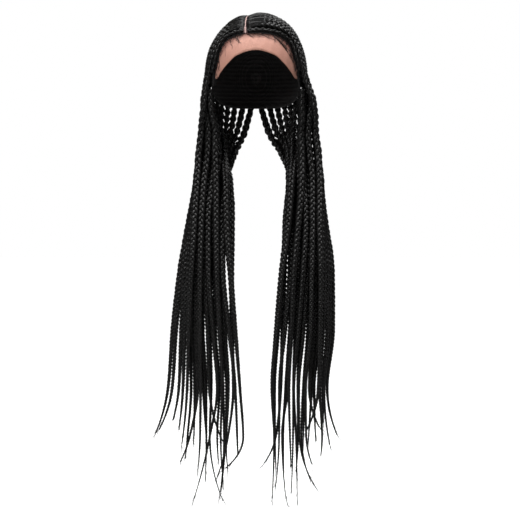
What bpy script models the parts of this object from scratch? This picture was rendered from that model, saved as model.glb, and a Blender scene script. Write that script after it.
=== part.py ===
"""Long braid wig: a shaped cap with a lace front, cornrows and plaits worn forward.

Blender units are metres. +Z is up, the face opening looks towards -Y, and +X is on the
right of someone who looks at the face. The origin is the top of the head, inside the cap.
Tables and named sizes below are in millimetres and degrees.
"""
import math

import bmesh
import bpy
import numpy as np
from mathutils import Vector

MM = 0.001
WIG = "braid_wig"

# Head that the cap fits, as a squared-off ellipsoid
HEAD_HALF_WIDTH = 75.0
HEAD_HALF_LENGTH = 93.0
HEAD_HALF_HEIGHT = 95.0
HEAD_FULLNESS = 2.25
HEAD_CENTRE = Vector((0.0, 0.0, -HEAD_HALF_HEIGHT))

# Walls and clearances
CAP_WALL = 1.6
LACE_WALL = 1.0
PART_WALL = 1.2
SKIN_GAP = 1.0
FACE_GAP = 0.3

# Cap edge round the head: azimuth from the face, elevation seen from the head centre
CAP_EDGE = (
    (0, 43), (20, 42), (37, 38), (45, 32), (50, 12), (60, -7), (72, -15),
    (90, -7), (105, -20), (125, -30), (150, -33), (180, -33),
)
CAP_COLUMNS = 36
CAP_RINGS = 7

# Front edge of the lace: azimuth from the face, elevation
LACE_EDGE = ((0, 24), (20, 19), (31, 11), (42, 2), (50, -4), (56, -5))
LACE_AZIMUTHS = (-56, -50, -40, -30, -20, -10, 0, 10, 20, 30, 40, 50, 56)
LACE_RINGS = 3
LACE_SEAM_GAP = 0.6

# Parting line, from the hairline back to the crown
PART_FRONT = (-14, 45)
PART_CROWN = (-170, 69)
PART_HALF_WIDTH = 1.5
PART_STEPS = 10

# Cornrows: each is a padded ridge that runs from the parting or the crown
SIDE_ROWS = 9
BACK_ROWS = 12
ROW_STEPS = 10
ROW_START_SHARE = 0.025
BACK_START_SHARE = 0.10
ROW_SIDE_INSET = 0.005
ROW_GROOVE = 2.4
ROW_RIDGE = 6.4
ROW_RIDGE_AT_END = 10.0
TEMPLE_END = (60, 0)
BACK_SEAM_END = (124, -29)
SIDE_END_HEIGHT = -HEAD_HALF_HEIGHT
BACK_END_HEIGHT = -141.0
BACK_ROWS_AZIMUTH = 125.0
BACK_ROWS_LIFT = CAP_WALL + SKIN_GAP + ROW_RIDGE_AT_END

# Small braid along the hairline
EDGE_BRAID_INSET = 1.0
EDGE_BRAID_WIDTH = 5.0
EDGE_BRAID_HEIGHT = 4.2
EDGE_BRAID_FLANK = 0.18
EDGE_BRAID_STEPS = 12
EDGE_BRAID_START = 0.02
EDGE_BRAID_END = 0.86
FIRST_ROW_INSET = 8.5
HAIRLINE_POINTS = 80
HAIRLINE_SPAN = 0.02

# Hanging braids: levels of their sections below the top of the head
ROW_SEAT = SIDE_END_HEIGHT - FACE_GAP
LOWER_SEAT = -118.0
NAPE_SEAT = BACK_END_HEIGHT - FACE_GAP
LEVELS = (ROW_SEAT, LOWER_SEAT, NAPE_SEAT, -165, -190, -225, -270, -335, -420, -515, -610, -690)
TIP_SECTION_LEAST = 25.0
NECK_LEVEL = -190
NAPE_SETTLED = -265
FAN_START = -220
FAN_END = -450
LOW_LEVEL = -610
TURN_LEVEL = -690
BRAID_SIDES = 6

# Width of a braid at each height, and its thickness as a share of that
BRAID_WIDTH = (
    (-95, 10.0), (-141, 11.0), (-225, 12.4), (-335, 12.0), (-420, 10.4), (-515, 8.0),
    (-610, 5.8), (-690, 4.2), (-760, 3.0), (-800, 2.2),
)
BRAID_THICKNESS_SHARE = 0.76
BRAID_TIP_SHARE = 0.6

# Outline of each bunch from the front: height, inner edge and outer edge of either side
OUTLINE = (
    # height, left inner, left outer, right inner, right outer
    (-118, 68, 93, 70, 101),
    (-165, 56, 98, 60, 107),
    (-190, 47, 101, 52, 111),
    (-220, 44, 105, 51, 115),
    (-260, 42, 110, 52, 118),
    (-310, 42, 116, 49, 122),
    (-375, 41, 126, 41, 126),
    (-450, 34, 134, 32, 134),
    (-530, 30, 142, 29, 127),
    (-610, 25, 148, 26, 117),
)

# Extra spread of the braids that leave the side rows: height, left side and right side
ROW_BRAID_SPREAD = (
    (-95, 0, 0), (-118, 3, 8), (-141, 3, 9), (-165, 1, 4), (-190, 0, 0),
)

# Run of a bunch seen from the side: height, front of the outer braids, front of the
# braids that come from the nape, and depth of the whole bunch
SIDE_RUN = (
    (-118, -44, 60, 100),
    (-165, -38, 40, 84),
    (-190, -32, 24, 72),
    (-220, -32, 4, 62),
    (-260, -48, -30, 52),
    (-310, -74, -68, 42),
    (-375, -98, -96, 34),
    (-450, -110, -110, 28),
    (-530, -112, -112, 25),
    (-610, -110, -110, 23),
    (-690, -107, -107, 21),
    (-800, -104, -104, 18),
)

# Braids of one side, in four files from the neck outwards
NAPE_BRAIDS = 6
LOWER_BRAIDS = 7
INNER_ROW_BRAIDS = 4
OUTER_ROW_BRAIDS = 5
FILES = (NAPE_BRAIDS, LOWER_BRAIDS, INNER_ROW_BRAIDS, OUTER_ROW_BRAIDS)
LOWER_FILE = 1
LOWER_AZIMUTHS = (66, 117)
LOWER_LIFT = 1.4

# Ends of the braids from the middle outwards: place at LOW_LEVEL, at TURN_LEVEL and at
# the tip, and height of the tip
LEFT_TIPS = (
    (27, 21, 50, -742), (34, 31, 30, -722), (40, 47, 64, -758), (44, 49, 58, -775),
    (48, 50, 47, -745), (53, 52, 60, -790), (57, 58, 54, -765), (62, 76, 104, -799),
    (66, 66, 62, -730), (71, 63, 53, -699), (76, 76, 53, -799), (81, 82, 84, -765),
    (86, 86, 80, -714), (91, 92, 96, -748), (96, 109, 125, -733), (101, 104, 103, -704),
    (107, 113, 117, -729), (113, 119, 122, -702), (120, 126, 127, -679),
    (127, 134, 137, -664), (138, 160, 160, -680), (145, 166, 166, -687),
)
RIGHT_TIPS = (
    (27, 30, 26, -799), (32, 31, 33, -745), (37, 38, 32, -775), (43, 33, 14, -735),
    (47, 45, 46, -760), (52, 43, 50, -799), (56, 56, 58, -740), (60, 61, 58, -782),
    (64, 66, 68, -795), (68, 71, 100, -778), (72, 71, 66, -750), (76, 74, 89, -762),
    (80, 79, 77, -715), (84, 86, 92, -735), (88, 100, 106, -675), (92, 90, 86, -704),
    (96, 98, 99, -700), (101, 86, 78, -682), (105, 107, 107, -720),
    (109, 112, 111, -668), (112, 117, 122, -705), (116, 128, 134, -689),
)

# Settling of the braids against each other, the cap and the space of the neck
SETTLE_ROUNDS = 90
SETTLE_STEP = 6.0
SETTLE_SHARE = 0.4
SEAT_SHARE = 0.35
LEAST_CLOSENESS = 0.05
BRAID_GAP = 0.5
NECK_HALF_WIDTH = 43.0
NECK_HALF_DEPTH = 52.0
NECK_CENTRE_Y = 16.0
NECK_BOTTOM = -262.0
CAP_CLEAR_BOTTOM = -150.0

HAIR_COLOUR = (0.012, 0.011, 0.011, 1.0)
CAP_COLOUR = (0.020, 0.018, 0.018, 1.0)
LACE_COLOUR = (0.52, 0.33, 0.26, 1.0)
PART_COLOUR = (0.62, 0.42, 0.36, 1.0)


def read(table, place, column=1):
    """Value of one column of a table at a place between its rows."""
    places = [row[0] for row in table]
    values = [row[column] for row in table]
    if places[0] > places[-1]:
        places.reverse()
        values.reverse()
    return float(np.interp(place, places, values))


def aim(azimuth, elevation):
    """Direction from the head centre: azimuth 0 is the face, 90 the ear at +X."""
    turn = math.radians(azimuth)
    rise = math.radians(elevation)
    flat = math.cos(rise)
    return Vector((math.sin(turn) * flat, -math.cos(turn) * flat, math.sin(rise)))


def on_head(direction, lift):
    """Point of the head in this direction, lifted off the skin."""
    halves = (HEAD_HALF_WIDTH + lift, HEAD_HALF_LENGTH + lift, HEAD_HALF_HEIGHT + lift)
    total = sum(abs(part / half) ** HEAD_FULLNESS for part, half in zip(direction, halves))
    return HEAD_CENTRE + direction * total ** (-1.0 / HEAD_FULLNESS)


def level_half_sizes(height, lift):
    """Half width and half length of the lifted head where a level plane cuts it."""
    share = abs(height - HEAD_CENTRE.z) / (HEAD_HALF_HEIGHT + lift)
    size = max(1.0 - share ** HEAD_FULLNESS, 0.0) ** (1.0 / HEAD_FULLNESS)
    return (HEAD_HALF_WIDTH + lift) * size, (HEAD_HALF_LENGTH + lift) * size


def at_level(azimuth, height, lift):
    """Point of the lifted head at this azimuth and height."""
    half_width, half_length = level_half_sizes(height, lift)
    turn = math.radians(azimuth)
    side = math.sin(turn)
    front = -math.cos(turn)
    total = abs(side / half_width) ** HEAD_FULLNESS + abs(front / half_length) ** HEAD_FULLNESS
    radius = total ** (-1.0 / HEAD_FULLNESS)
    return Vector((side * radius, front * radius, height))


def great_arc(start, end, share):
    """Direction part of the way along the shortest arc between two directions."""
    angle = start.angle(end)
    near = math.sin((1.0 - share) * angle)
    far = math.sin(share * angle)
    return (start * near + end * far).normalized()


def material(name, colour, roughness):
    """Plain Principled material of one finish."""
    finish = bpy.data.materials.new(name)
    finish.use_nodes = True
    shader = finish.node_tree.nodes["Principled BSDF"]
    shader.inputs["Base Color"].default_value = colour
    shader.inputs["Roughness"].default_value = roughness
    shader.inputs["Metallic"].default_value = 0.0
    finish.diffuse_color = colour
    return finish


def face_outwards(bm):
    """Turn the faces of one closed body so that they point out."""
    bmesh.ops.recalc_face_normals(bm, faces=bm.faces)
    if bm.calc_volume(signed=True) < 0.0:
        bmesh.ops.reverse_faces(bm, faces=bm.faces)


def add_object(name, bm, finish):
    """Put a mesh in millimetres into the wig's collection, in metres."""
    bmesh.ops.scale(bm, vec=(MM, MM, MM), verts=bm.verts)
    mesh = bpy.data.meshes.new(name)
    bm.to_mesh(mesh)
    bm.free()
    mesh.materials.append(finish)
    piece = bpy.data.objects.new(name, mesh)
    bpy.data.collections[WIG].objects.link(piece)
    return piece


def shaped_slab(name, columns, rings, place, finish):
    """Closed slab: a flat grid, thickened by an extrude, each vertex moved to its place.

    place takes the share along the columns, the share along the rings, and 0 for the
    inner or 1 for the outer side.
    """
    bm = bmesh.new()
    bmesh.ops.create_grid(bm, x_segments=columns, y_segments=rings, size=0.5)
    lid = bmesh.ops.extrude_face_region(bm, geom=bm.faces[:])
    lifted = [item for item in lid["geom"] if isinstance(item, bmesh.types.BMVert)]
    bmesh.ops.translate(bm, vec=(0.0, 0.0, 1.0), verts=lifted)
    for vert in bm.verts:
        vert.co = place(vert.co.x + 0.5, vert.co.y + 0.5, round(vert.co.z))
    face_outwards(bm)
    return add_object(name, bm, finish)


def build_cap(finish):
    """Cap: an open dome from the hairline to the nape, with a thin wall."""
    bm = bmesh.new()
    bmesh.ops.create_grid(bm, x_segments=CAP_COLUMNS, y_segments=CAP_RINGS, size=0.5)
    for vert in bm.verts:
        azimuth = 360.0 * vert.co.x
        edge = read(CAP_EDGE, abs(azimuth))
        elevation = 90.0 + (edge - 90.0) * (vert.co.y + 0.5)
        vert.co = on_head(aim(azimuth, elevation), 0.0)
    bmesh.ops.remove_doubles(bm, verts=bm.verts, dist=0.01)
    bmesh.ops.recalc_face_normals(bm, faces=bm.faces)
    leftmost = min(bm.faces, key=lambda face: face.calc_center_median().x)
    if leftmost.normal.x > 0.0:
        bmesh.ops.reverse_faces(bm, faces=bm.faces)
    cap = add_object("wig_cap", bm, finish)
    wall = cap.modifiers.new("wall", "SOLIDIFY")
    wall.thickness = CAP_WALL * MM
    wall.offset = 1.0
    wall.use_even_offset = True
    return cap


def build_lace(finish):
    """Lace band on the forehead, from the hairline to its own front edge."""
    last = len(LACE_AZIMUTHS) - 1

    def place(across, down, outer):
        azimuth = LACE_AZIMUTHS[round(across * last)]
        seam = read(CAP_EDGE, abs(azimuth)) - LACE_SEAM_GAP
        front = read(LACE_EDGE, abs(azimuth))
        return on_head(aim(azimuth, seam + (front - seam) * down), outer * LACE_WALL)

    return shaped_slab("lace_front", last, LACE_RINGS, place, finish)


def build_part_strip(finish):
    """Narrow strip of bare base that shows along the parting."""
    front = aim(*PART_FRONT)
    crown = aim(*PART_CROWN)
    across_part = front.cross(crown).normalized()

    def place(along, across, outer):
        middle = great_arc(front, crown, along)
        swing = (2.0 * across - 1.0) * PART_HALF_WIDTH / HEAD_HALF_HEIGHT
        base = CAP_WALL + SKIN_GAP
        return on_head((middle + across_part * swing).normalized(), base + outer * PART_WALL)

    return shaped_slab("part_strip", PART_STEPS, 1, place, finish)


def hairline(side):
    """Directions along the cap's front edge, from the parting to the temple, evenly spaced."""
    start = PART_FRONT[0] * side
    azimuths = np.linspace(start, TEMPLE_END[0], HAIRLINE_POINTS)
    trail = [aim(side * value, read(CAP_EDGE, abs(value))) for value in azimuths]
    runs = [0.0]
    for before, after in zip(trail, trail[1:]):
        runs.append(runs[-1] + (after - before).length)

    def at(share):
        run = share * runs[-1]
        index = min(int(np.searchsorted(runs, run)), len(trail) - 1)
        index = max(index, 1)
        span = (run - runs[index - 1]) / (runs[index] - runs[index - 1])
        return trail[index - 1].lerp(trail[index], span).normalized()

    return at


def above_hairline(route, side, share, distance):
    """Direction a distance inside the cap's front edge, square to that edge."""
    before = route(max(share - HAIRLINE_SPAN, 0.0))
    after = route(min(share + HAIRLINE_SPAN, 1.0))
    here = route(share)
    inward = (after - before).cross(here).normalized() * -side
    return (here + inward * distance / HEAD_HALF_HEIGHT).normalized()


def build_edge_braid(side, finish):
    """Small raised braid that finishes the cap's edge along the hairline."""
    route = hairline(side)

    def place(along, across, outer):
        share = EDGE_BRAID_START + (EDGE_BRAID_END - EDGE_BRAID_START) * along
        inset = EDGE_BRAID_INSET + EDGE_BRAID_WIDTH * across
        crest = math.sin(math.pi * (EDGE_BRAID_FLANK + (1.0 - 2.0 * EDGE_BRAID_FLANK) * across))
        lift = CAP_WALL + SKIN_GAP + outer * EDGE_BRAID_HEIGHT * crest
        return on_head(above_hairline(route, side, share, inset), lift)

    name = "hairline_braid_" + side_name(side)
    return shaped_slab(name, EDGE_BRAID_STEPS, 2, place, finish)


def side_name(side):
    """Side as the viewer of the face sees it."""
    return "right" if side > 0 else "left"


def back_seam(side):
    """Crown, end of the seam between side and back rows, and its share at ear level."""
    crown = aim(*PART_CROWN)
    end = aim(side * BACK_SEAM_END[0], BACK_SEAM_END[1])
    angle = crown.angle(end)
    level = math.atan2(math.sin(angle) * crown.z, math.cos(angle) * crown.z - end.z) / angle
    return crown, end, level


def side_row(side, across, along):
    """Direction on the side rows: across goes back from the hairline, along goes down."""
    crown, end, level = back_seam(side)
    first = above_hairline(hairline(side), side, along, FIRST_ROW_INSET)
    ends_level = aim(side * TEMPLE_END[0], 0.0)
    first = great_arc(first, ends_level, along ** 6)
    last = great_arc(crown, end, along * level)
    return great_arc(first, last, across)


def row_height(across, along, rows):
    """Height of the ridges: low in the grooves, higher towards their lower ends."""
    ridge = ROW_RIDGE + (ROW_RIDGE_AT_END - ROW_RIDGE) * along ** 2
    phase = (across * rows) % 1.0
    groove = min(phase, 1.0 - phase) < 0.01
    return ROW_GROOVE if groove else ridge


def build_side_rows(side, finish):
    """Cornrows of one side, from the parting down to ear level, as one ribbed skin."""

    def place(along, across, outer):
        inside = ROW_SIDE_INSET + (1.0 - 2.0 * ROW_SIDE_INSET) * across
        down = ROW_START_SHARE + (1.0 - ROW_START_SHARE) * along
        lift = CAP_WALL + SKIN_GAP + outer * row_height(across, down, SIDE_ROWS)
        return on_head(side_row(side, inside, down), lift)

    name = "cornrows_" + side_name(side)
    return shaped_slab(name, ROW_STEPS, 3 * SIDE_ROWS, place, finish)


def back_row(across, along, lift):
    """Point on the back rows: across goes from the left seam to the right one."""
    crown, left_end, level = back_seam(-1)
    right_end = back_seam(1)[1]
    azimuth_left = -BACK_SEAM_END[0]
    azimuth_right = BACK_SEAM_END[0] - 360.0
    azimuth = azimuth_left + (azimuth_right - azimuth_left) * across
    end = aim(azimuth, BACK_SEAM_END[1])
    direction = great_arc(crown, end, along)
    if along < 0.999:
        return on_head(direction, lift)
    return at_level(azimuth, BACK_END_HEIGHT, lift)


def build_back_rows(finish):
    """Cornrows of the back, which fan out from the crown to the nape."""

    def place(along, across, outer):
        inside = ROW_SIDE_INSET + (1.0 - 2.0 * ROW_SIDE_INSET) * across
        down = BACK_START_SHARE + (1.0 - BACK_START_SHARE) * along
        height = row_height(across, down, BACK_ROWS) * min(1.0, 0.5 + down)
        return back_row(inside, down, CAP_WALL + SKIN_GAP + outer * height)

    return shaped_slab("cornrows_back", ROW_STEPS, 3 * BACK_ROWS, place, finish)


class Braid:
    """Route of one hanging braid: centres and half sizes of its level sections."""

    def __init__(self, side, file, depth, start, tip_row, order):
        self.side = side
        self.order = order
        self.file = file
        self.depth = depth
        self.low, self.turn, self.tip, self.end = tip_row
        first = 0
        while LEVELS[first] > start.z + 1.0:
            first += 1
        heights = [level for level in LEVELS[first:] if level > self.end + TIP_SECTION_LEAST]
        self.z = np.array(heights + [self.end])
        self.z[0] = start.z
        self.x = np.zeros(len(self.z))
        self.y = np.zeros(len(self.z))
        self.start = start
        self.lay()
        self.measure()

    def lattice(self, height):
        """Place in the bunch at this height, before the braids settle."""
        inner = read(OUTLINE, height, 1 if self.side < 0 else 3)
        outer = read(OUTLINE, height, 2 if self.side < 0 else 4)
        by_file = (self.file + 0.5) / len(FILES)
        by_order = (self.order + 0.5) / sum(FILES)
        fan = min(max((height - FAN_START) / (FAN_END - FAN_START), 0.0), 1.0)
        spread = by_file + (by_order - by_file) * fan
        margin = read(BRAID_WIDTH, height) / 2.0
        across = inner + margin + (outer - inner - 2.0 * margin) * spread
        front = read(SIDE_RUN, height, 2 if self.file == 0 else 1)
        return across, front + read(SIDE_RUN, height, 3) * self.depth

    def lay(self):
        """First route, from the seat on the cap to the tip."""
        for index, height in enumerate(self.z):
            across, back = self.lattice(height)
            if height <= LOW_LEVEL:
                low_run = (height - LOW_LEVEL) / (TURN_LEVEL - LOW_LEVEL)
                if height >= TURN_LEVEL:
                    across = self.low + (self.turn - self.low) * low_run
            elif height < FAN_END:
                share = (height - FAN_END) / (LOW_LEVEL - FAN_END)
                across += (self.low - self.lattice(LOW_LEVEL)[0]) * share
            if index == len(self.z) - 1:
                across = self.tip
            settle_at = NECK_LEVEL if self.file else NAPE_SETTLED
            share = (height - self.start.z) / (settle_at - self.start.z)
            share = min(max(share, 0.0), 1.0)
            share = share * share * (3.0 - 2.0 * share)
            self.x[index] = self.start.x + (self.side * across - self.start.x) * share
            if self.file > LOWER_FILE:
                spread = read(ROW_BRAID_SPREAD, height, 1 if self.side < 0 else 2)
                self.x[index] += self.side * spread
            self.y[index] = self.start.y + (back - self.start.y) * share

    def measure(self):
        """Half sizes of the level sections: wider where the braid runs at a slant."""
        widths = np.array([read(BRAID_WIDTH, height) for height in self.z])
        widths[-1] *= BRAID_TIP_SHARE
        slant_x = np.gradient(self.x, self.z)
        slant_y = np.gradient(self.y, self.z)
        self.half_x = widths / 2.0 * np.sqrt(1.0 + slant_x ** 2)
        self.half_y = widths / 2.0 * BRAID_THICKNESS_SHARE * np.sqrt(1.0 + slant_y ** 2)
        lie = np.clip((self.z - NECK_LEVEL) / (ROW_SEAT - NECK_LEVEL), 0.0, 1.0)
        facing = abs(self.start.x) / (abs(self.start.x) + abs(self.start.y))
        flat = lie * facing
        swap_x = self.half_x + (self.half_y - self.half_x) * flat
        swap_y = self.half_y + (self.half_x - self.half_y) * flat
        self.half_x = swap_x
        self.half_y = swap_y

    def rest_on_cap(self):
        """Shift the seat outwards from the cap's skin until the first section only touches it."""
        lean = (HEAD_HALF_LENGTH / HEAD_HALF_WIDTH) ** HEAD_FULLNESS
        power = HEAD_FULLNESS - 1.0
        outward_x = math.copysign(abs(self.start.x) ** power * lean, self.start.x)
        outward_y = math.copysign(abs(self.start.y) ** power, self.start.y)
        length = math.hypot(outward_x, outward_y)
        outward_x /= length
        outward_y /= length
        turns = [math.pi * (0.5 + 2.0 * corner / BRAID_SIDES) for corner in range(BRAID_SIDES)]
        reach = max(
            self.half_x[0] * math.cos(turn) * outward_x + self.half_y[0] * math.sin(turn) * outward_y
            for turn in turns
        )
        self.x[0] = self.start.x + outward_x * reach
        self.y[0] = self.start.y + outward_y * reach


def seats(side):
    """Start points of the braids of one side, file by file, front to back."""
    lift = CAP_WALL + SKIN_GAP + ROW_RIDGE_AT_END / 2.0
    rows = []
    for row in range(SIDE_ROWS):
        point = on_head(side_row(side, (row + 0.5) / SIDE_ROWS, 1.0), lift)
        point.z = ROW_SEAT
        rows.append(point)
    lower = []
    for azimuth in np.linspace(LOWER_AZIMUTHS[0], LOWER_AZIMUTHS[1], LOWER_BRAIDS):
        lower.append(at_level(side * azimuth, LOWER_SEAT, LOWER_LIFT))
    nape = []
    for row in range(NAPE_BRAIDS):
        across = (row + 0.5) / BACK_ROWS
        if side > 0:
            across = 1.0 - across
        point = back_row(across, 1.0, lift)
        point.z = NAPE_SEAT
        nape.append(point)
    return nape, lower, rows[1::2], rows[0::2]


def make_braids(side):
    """All braids of one side, laid but not yet settled."""
    tips = RIGHT_TIPS if side > 0 else LEFT_TIPS
    braids = []
    for file, starts in enumerate(seats(side)):
        for place, start in enumerate(starts):
            depth = (place + 0.5) / len(starts)
            braid = Braid(side, file, depth, start, tips[len(braids)], len(braids))
            if file == LOWER_FILE:
                braid.rest_on_cap()
            braids.append(braid)
    return braids


class Slice:
    """Sections of a bunch at one height, each part of the way between two levels."""

    def __init__(self, braids, height):
        self.height = height
        self.braids = [braid for braid in braids if braid.z[0] >= height >= braid.z[-1]]
        self.above = []
        shares = []
        for braid in self.braids:
            index = int(np.searchsorted(-braid.z, -height, side="right")) - 1
            index = min(index, len(braid.z) - 2)
            self.above.append(index)
            shares.append((braid.z[index] - height) / (braid.z[index] - braid.z[index + 1]))
        self.share = np.array(shares)
        self.half_x = self.widest("half_x")
        self.half_y = self.widest("half_y")

    def widest(self, name):
        """Larger half size of the two levels round this height, for each braid."""
        pairs = zip(self.braids, self.above)
        return np.array([max(getattr(braid, name)[index:index + 2]) for braid, index in pairs])

    def centres(self, name):
        """Centres of the sections at this height along one axis."""
        rows = [getattr(braid, name)[index:index + 2] for braid, index in zip(self.braids, self.above)]
        rows = np.array(rows)
        return rows[:, 0] * (1.0 - self.share) + rows[:, 1] * self.share

    def move(self, steps_x, steps_y):
        """Shift the sections by moving the two levels round each of them, but no seat."""
        weights = (1.0 - self.share) ** 2 + self.share ** 2
        for place, (braid, index) in enumerate(zip(self.braids, self.above)):
            share = self.share[place]
            if index == 0 and share < SEAT_SHARE:
                continue
            for section, part in ((index, 1.0 - share), (index + 1, share)):
                if section > 0:
                    braid.x[section] += steps_x[place] * part / weights[place]
                    braid.y[section] += steps_y[place] * part / weights[place]

    def push_apart(self):
        """Move braids whose sections come too close away from each other."""
        x = self.centres("x")
        y = self.centres("y")
        gap_x = x[:, None] - x[None, :]
        gap_y = y[:, None] - y[None, :]
        reach_x = self.half_x[:, None] + self.half_x[None, :] + BRAID_GAP
        reach_y = self.half_y[:, None] + self.half_y[None, :] + BRAID_GAP
        closeness = np.hypot(gap_x / reach_x, gap_y / reach_y)
        np.fill_diagonal(closeness, 1.0)
        closeness = np.clip(closeness, LEAST_CLOSENESS, 1.0)
        push = SETTLE_SHARE * (1.0 - closeness) / closeness
        if push.any():
            self.move((gap_x * push).sum(axis=1), (gap_y * push).sum(axis=1))

    def push_out(self):
        """Keep the braids outside the cap above, and outside the space of the neck below."""
        if self.height < NECK_BOTTOM:
            return
        x = self.centres("x")
        y = self.centres("y")
        if self.height > CAP_CLEAR_BOTTOM:
            middle, power = 0.0, HEAD_FULLNESS
            wide, deep = level_half_sizes(self.height, CAP_WALL)
            back_lift = BACK_ROWS_LIFT if self.height > BACK_END_HEIGHT else CAP_WALL
            wide_back, deep_back = level_half_sizes(self.height, back_lift)
            over_back = np.degrees(np.arctan2(np.abs(x), -y)) > BACK_ROWS_AZIMUTH
            wide = np.where(over_back, wide_back, wide)
            deep = np.where(over_back, deep_back, deep)
        else:
            middle, power = NECK_CENTRE_Y, 2.0
            wide, deep = NECK_HALF_WIDTH, NECK_HALF_DEPTH
        y = y - middle
        across = np.abs(x) / (wide + self.half_x + BRAID_GAP)
        along = np.abs(y) / (deep + self.half_y + BRAID_GAP)
        inside = np.clip((across ** power + along ** power) ** (1.0 / power), LEAST_CLOSENESS, 1.0)
        push = (1.0 - inside) / inside
        if push.any():
            self.move(x * push, y * push)


def settle(braids):
    """Let the braids of one side push each other apart until none runs through another."""
    lowest = min(braid.end for braid in braids)
    slices = [Slice(braids, height) for height in np.arange(ROW_SEAT - 1.0, lowest, -SETTLE_STEP)]
    for _ in range(SETTLE_ROUNDS):
        for cut in slices:
            cut.push_apart()
            cut.push_out()


def build_braid(name, braid, finish):
    """Solid of one braid: a six-sided section, extruded from level to level."""
    bm = bmesh.new()
    bmesh.ops.create_circle(bm, cap_ends=True, radius=1.0, segments=BRAID_SIDES)
    face = next(iter(bm.faces))
    corners = {vert: vert.co.copy() for vert in face.verts}
    sections = list(zip(braid.x, braid.y, braid.z, braid.half_x, braid.half_y))

    def set_section(verts, section):
        x, y, z, half_x, half_y = section
        for vert in verts:
            corner = corners[vert]
            vert.co = Vector((x + corner.x * half_x, y + corner.y * half_y, z))

    set_section(face.verts, sections[0])
    for section in sections[1:]:
        before = list(face.verts)
        grown = bmesh.ops.extrude_discrete_faces(bm, faces=[face])["faces"][0]
        after = list(grown.verts)
        for vert in after:
            nearest = min(before, key=lambda old: (old.co - vert.co).length)
            corners[vert] = corners[nearest]
        face = grown
        set_section(after, section)
    bmesh.ops.holes_fill(bm, edges=bm.edges, sides=BRAID_SIDES)
    face_outwards(bm)
    return add_object(name, bm, finish)


def main():
    """Build the wig."""
    for item in list(bpy.data.objects):
        bpy.data.objects.remove(item)
    collection = bpy.data.collections.new(WIG)
    bpy.context.scene.collection.children.link(collection)

    hair = material("braided_hair", HAIR_COLOUR, 0.5)
    cap_mesh = material("cap_mesh", CAP_COLOUR, 0.8)
    lace = material("lace_net", LACE_COLOUR, 0.7)
    base = material("parting_base", PART_COLOUR, 0.6)

    build_cap(cap_mesh)
    build_lace(lace)
    build_part_strip(base)
    build_back_rows(hair)
    for side in (-1, 1):
        build_side_rows(side, hair)
        build_edge_braid(side, hair)
        braids = make_braids(side)
        settle(braids)
        for number, braid in enumerate(braids, start=1):
            build_braid(f"braid_{side_name(side)}_{number:02d}", braid, hair)


main()
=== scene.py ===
"""Looks of a long lace-front braid wig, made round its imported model.

The wig is shown as worn, on a head that isn't there: a net cap, a lace band on the forehead,
cornrows from the parting down, and long plaits that come forward over both shoulders.
Units are metres. +Z is up, the face opening looks towards -Y, +X is on the right of someone
who looks at the face, and the origin is the top of the head inside the cap.
"""

import logging
import math
from collections.abc import Callable
from dataclasses import dataclass, field
from enum import Enum

import bpy
import numpy as np
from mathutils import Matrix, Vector


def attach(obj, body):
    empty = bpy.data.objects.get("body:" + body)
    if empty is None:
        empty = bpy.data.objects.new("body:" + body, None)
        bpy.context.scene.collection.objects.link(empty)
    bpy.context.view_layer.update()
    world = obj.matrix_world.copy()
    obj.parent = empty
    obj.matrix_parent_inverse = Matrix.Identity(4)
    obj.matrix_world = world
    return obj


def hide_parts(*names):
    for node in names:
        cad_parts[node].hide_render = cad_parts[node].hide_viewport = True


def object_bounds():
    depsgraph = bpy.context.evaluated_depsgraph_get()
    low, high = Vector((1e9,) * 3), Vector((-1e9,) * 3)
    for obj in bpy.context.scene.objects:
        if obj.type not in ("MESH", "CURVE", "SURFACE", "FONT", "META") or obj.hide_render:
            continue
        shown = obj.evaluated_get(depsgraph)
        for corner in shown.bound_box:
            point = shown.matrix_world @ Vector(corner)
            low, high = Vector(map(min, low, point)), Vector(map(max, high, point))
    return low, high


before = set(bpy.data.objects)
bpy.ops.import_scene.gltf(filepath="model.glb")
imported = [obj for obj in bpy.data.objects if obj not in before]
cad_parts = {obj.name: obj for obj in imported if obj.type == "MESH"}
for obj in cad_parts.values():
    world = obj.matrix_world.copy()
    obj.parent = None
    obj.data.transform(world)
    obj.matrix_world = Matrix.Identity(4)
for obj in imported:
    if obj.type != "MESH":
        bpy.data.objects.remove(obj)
CAD_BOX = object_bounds()

LOG = logging.getLogger("braid_wig")
BODY = "root"
STRAND_MAP = "strand"
CLOTH_MAP = "cloth"
THIRD_OF_TURN = 2.0 * math.pi / 3.0

# in degrees
FULL_TURN = 360.0
HALF_TURN = 180.0
UPRIGHT = 90.0

# azimuth and elevation in degrees
Aim = tuple[float, float]
# low and high end of a size that is drawn at random
Range = tuple[float, float]
# red, green and blue, linear
Colour = tuple[float, float, float]
# points of a sheet for shares across and down it
Place = Callable[[np.ndarray, np.ndarray], np.ndarray]


class Side(Enum):
    """Side of the wig, as someone who looks at the face sees it."""

    LEFT = -1
    RIGHT = 1

    @property
    def word(self) -> str:
        """Side as it stands in the name of a piece."""
        return self.name.lower()


class Slot(Enum):
    """Material slots of the record."""

    HAIR = "braided_hair"
    CAP = "cap_mesh"
    LACE = "lace_net"
    BASE = "parting_base"


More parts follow.
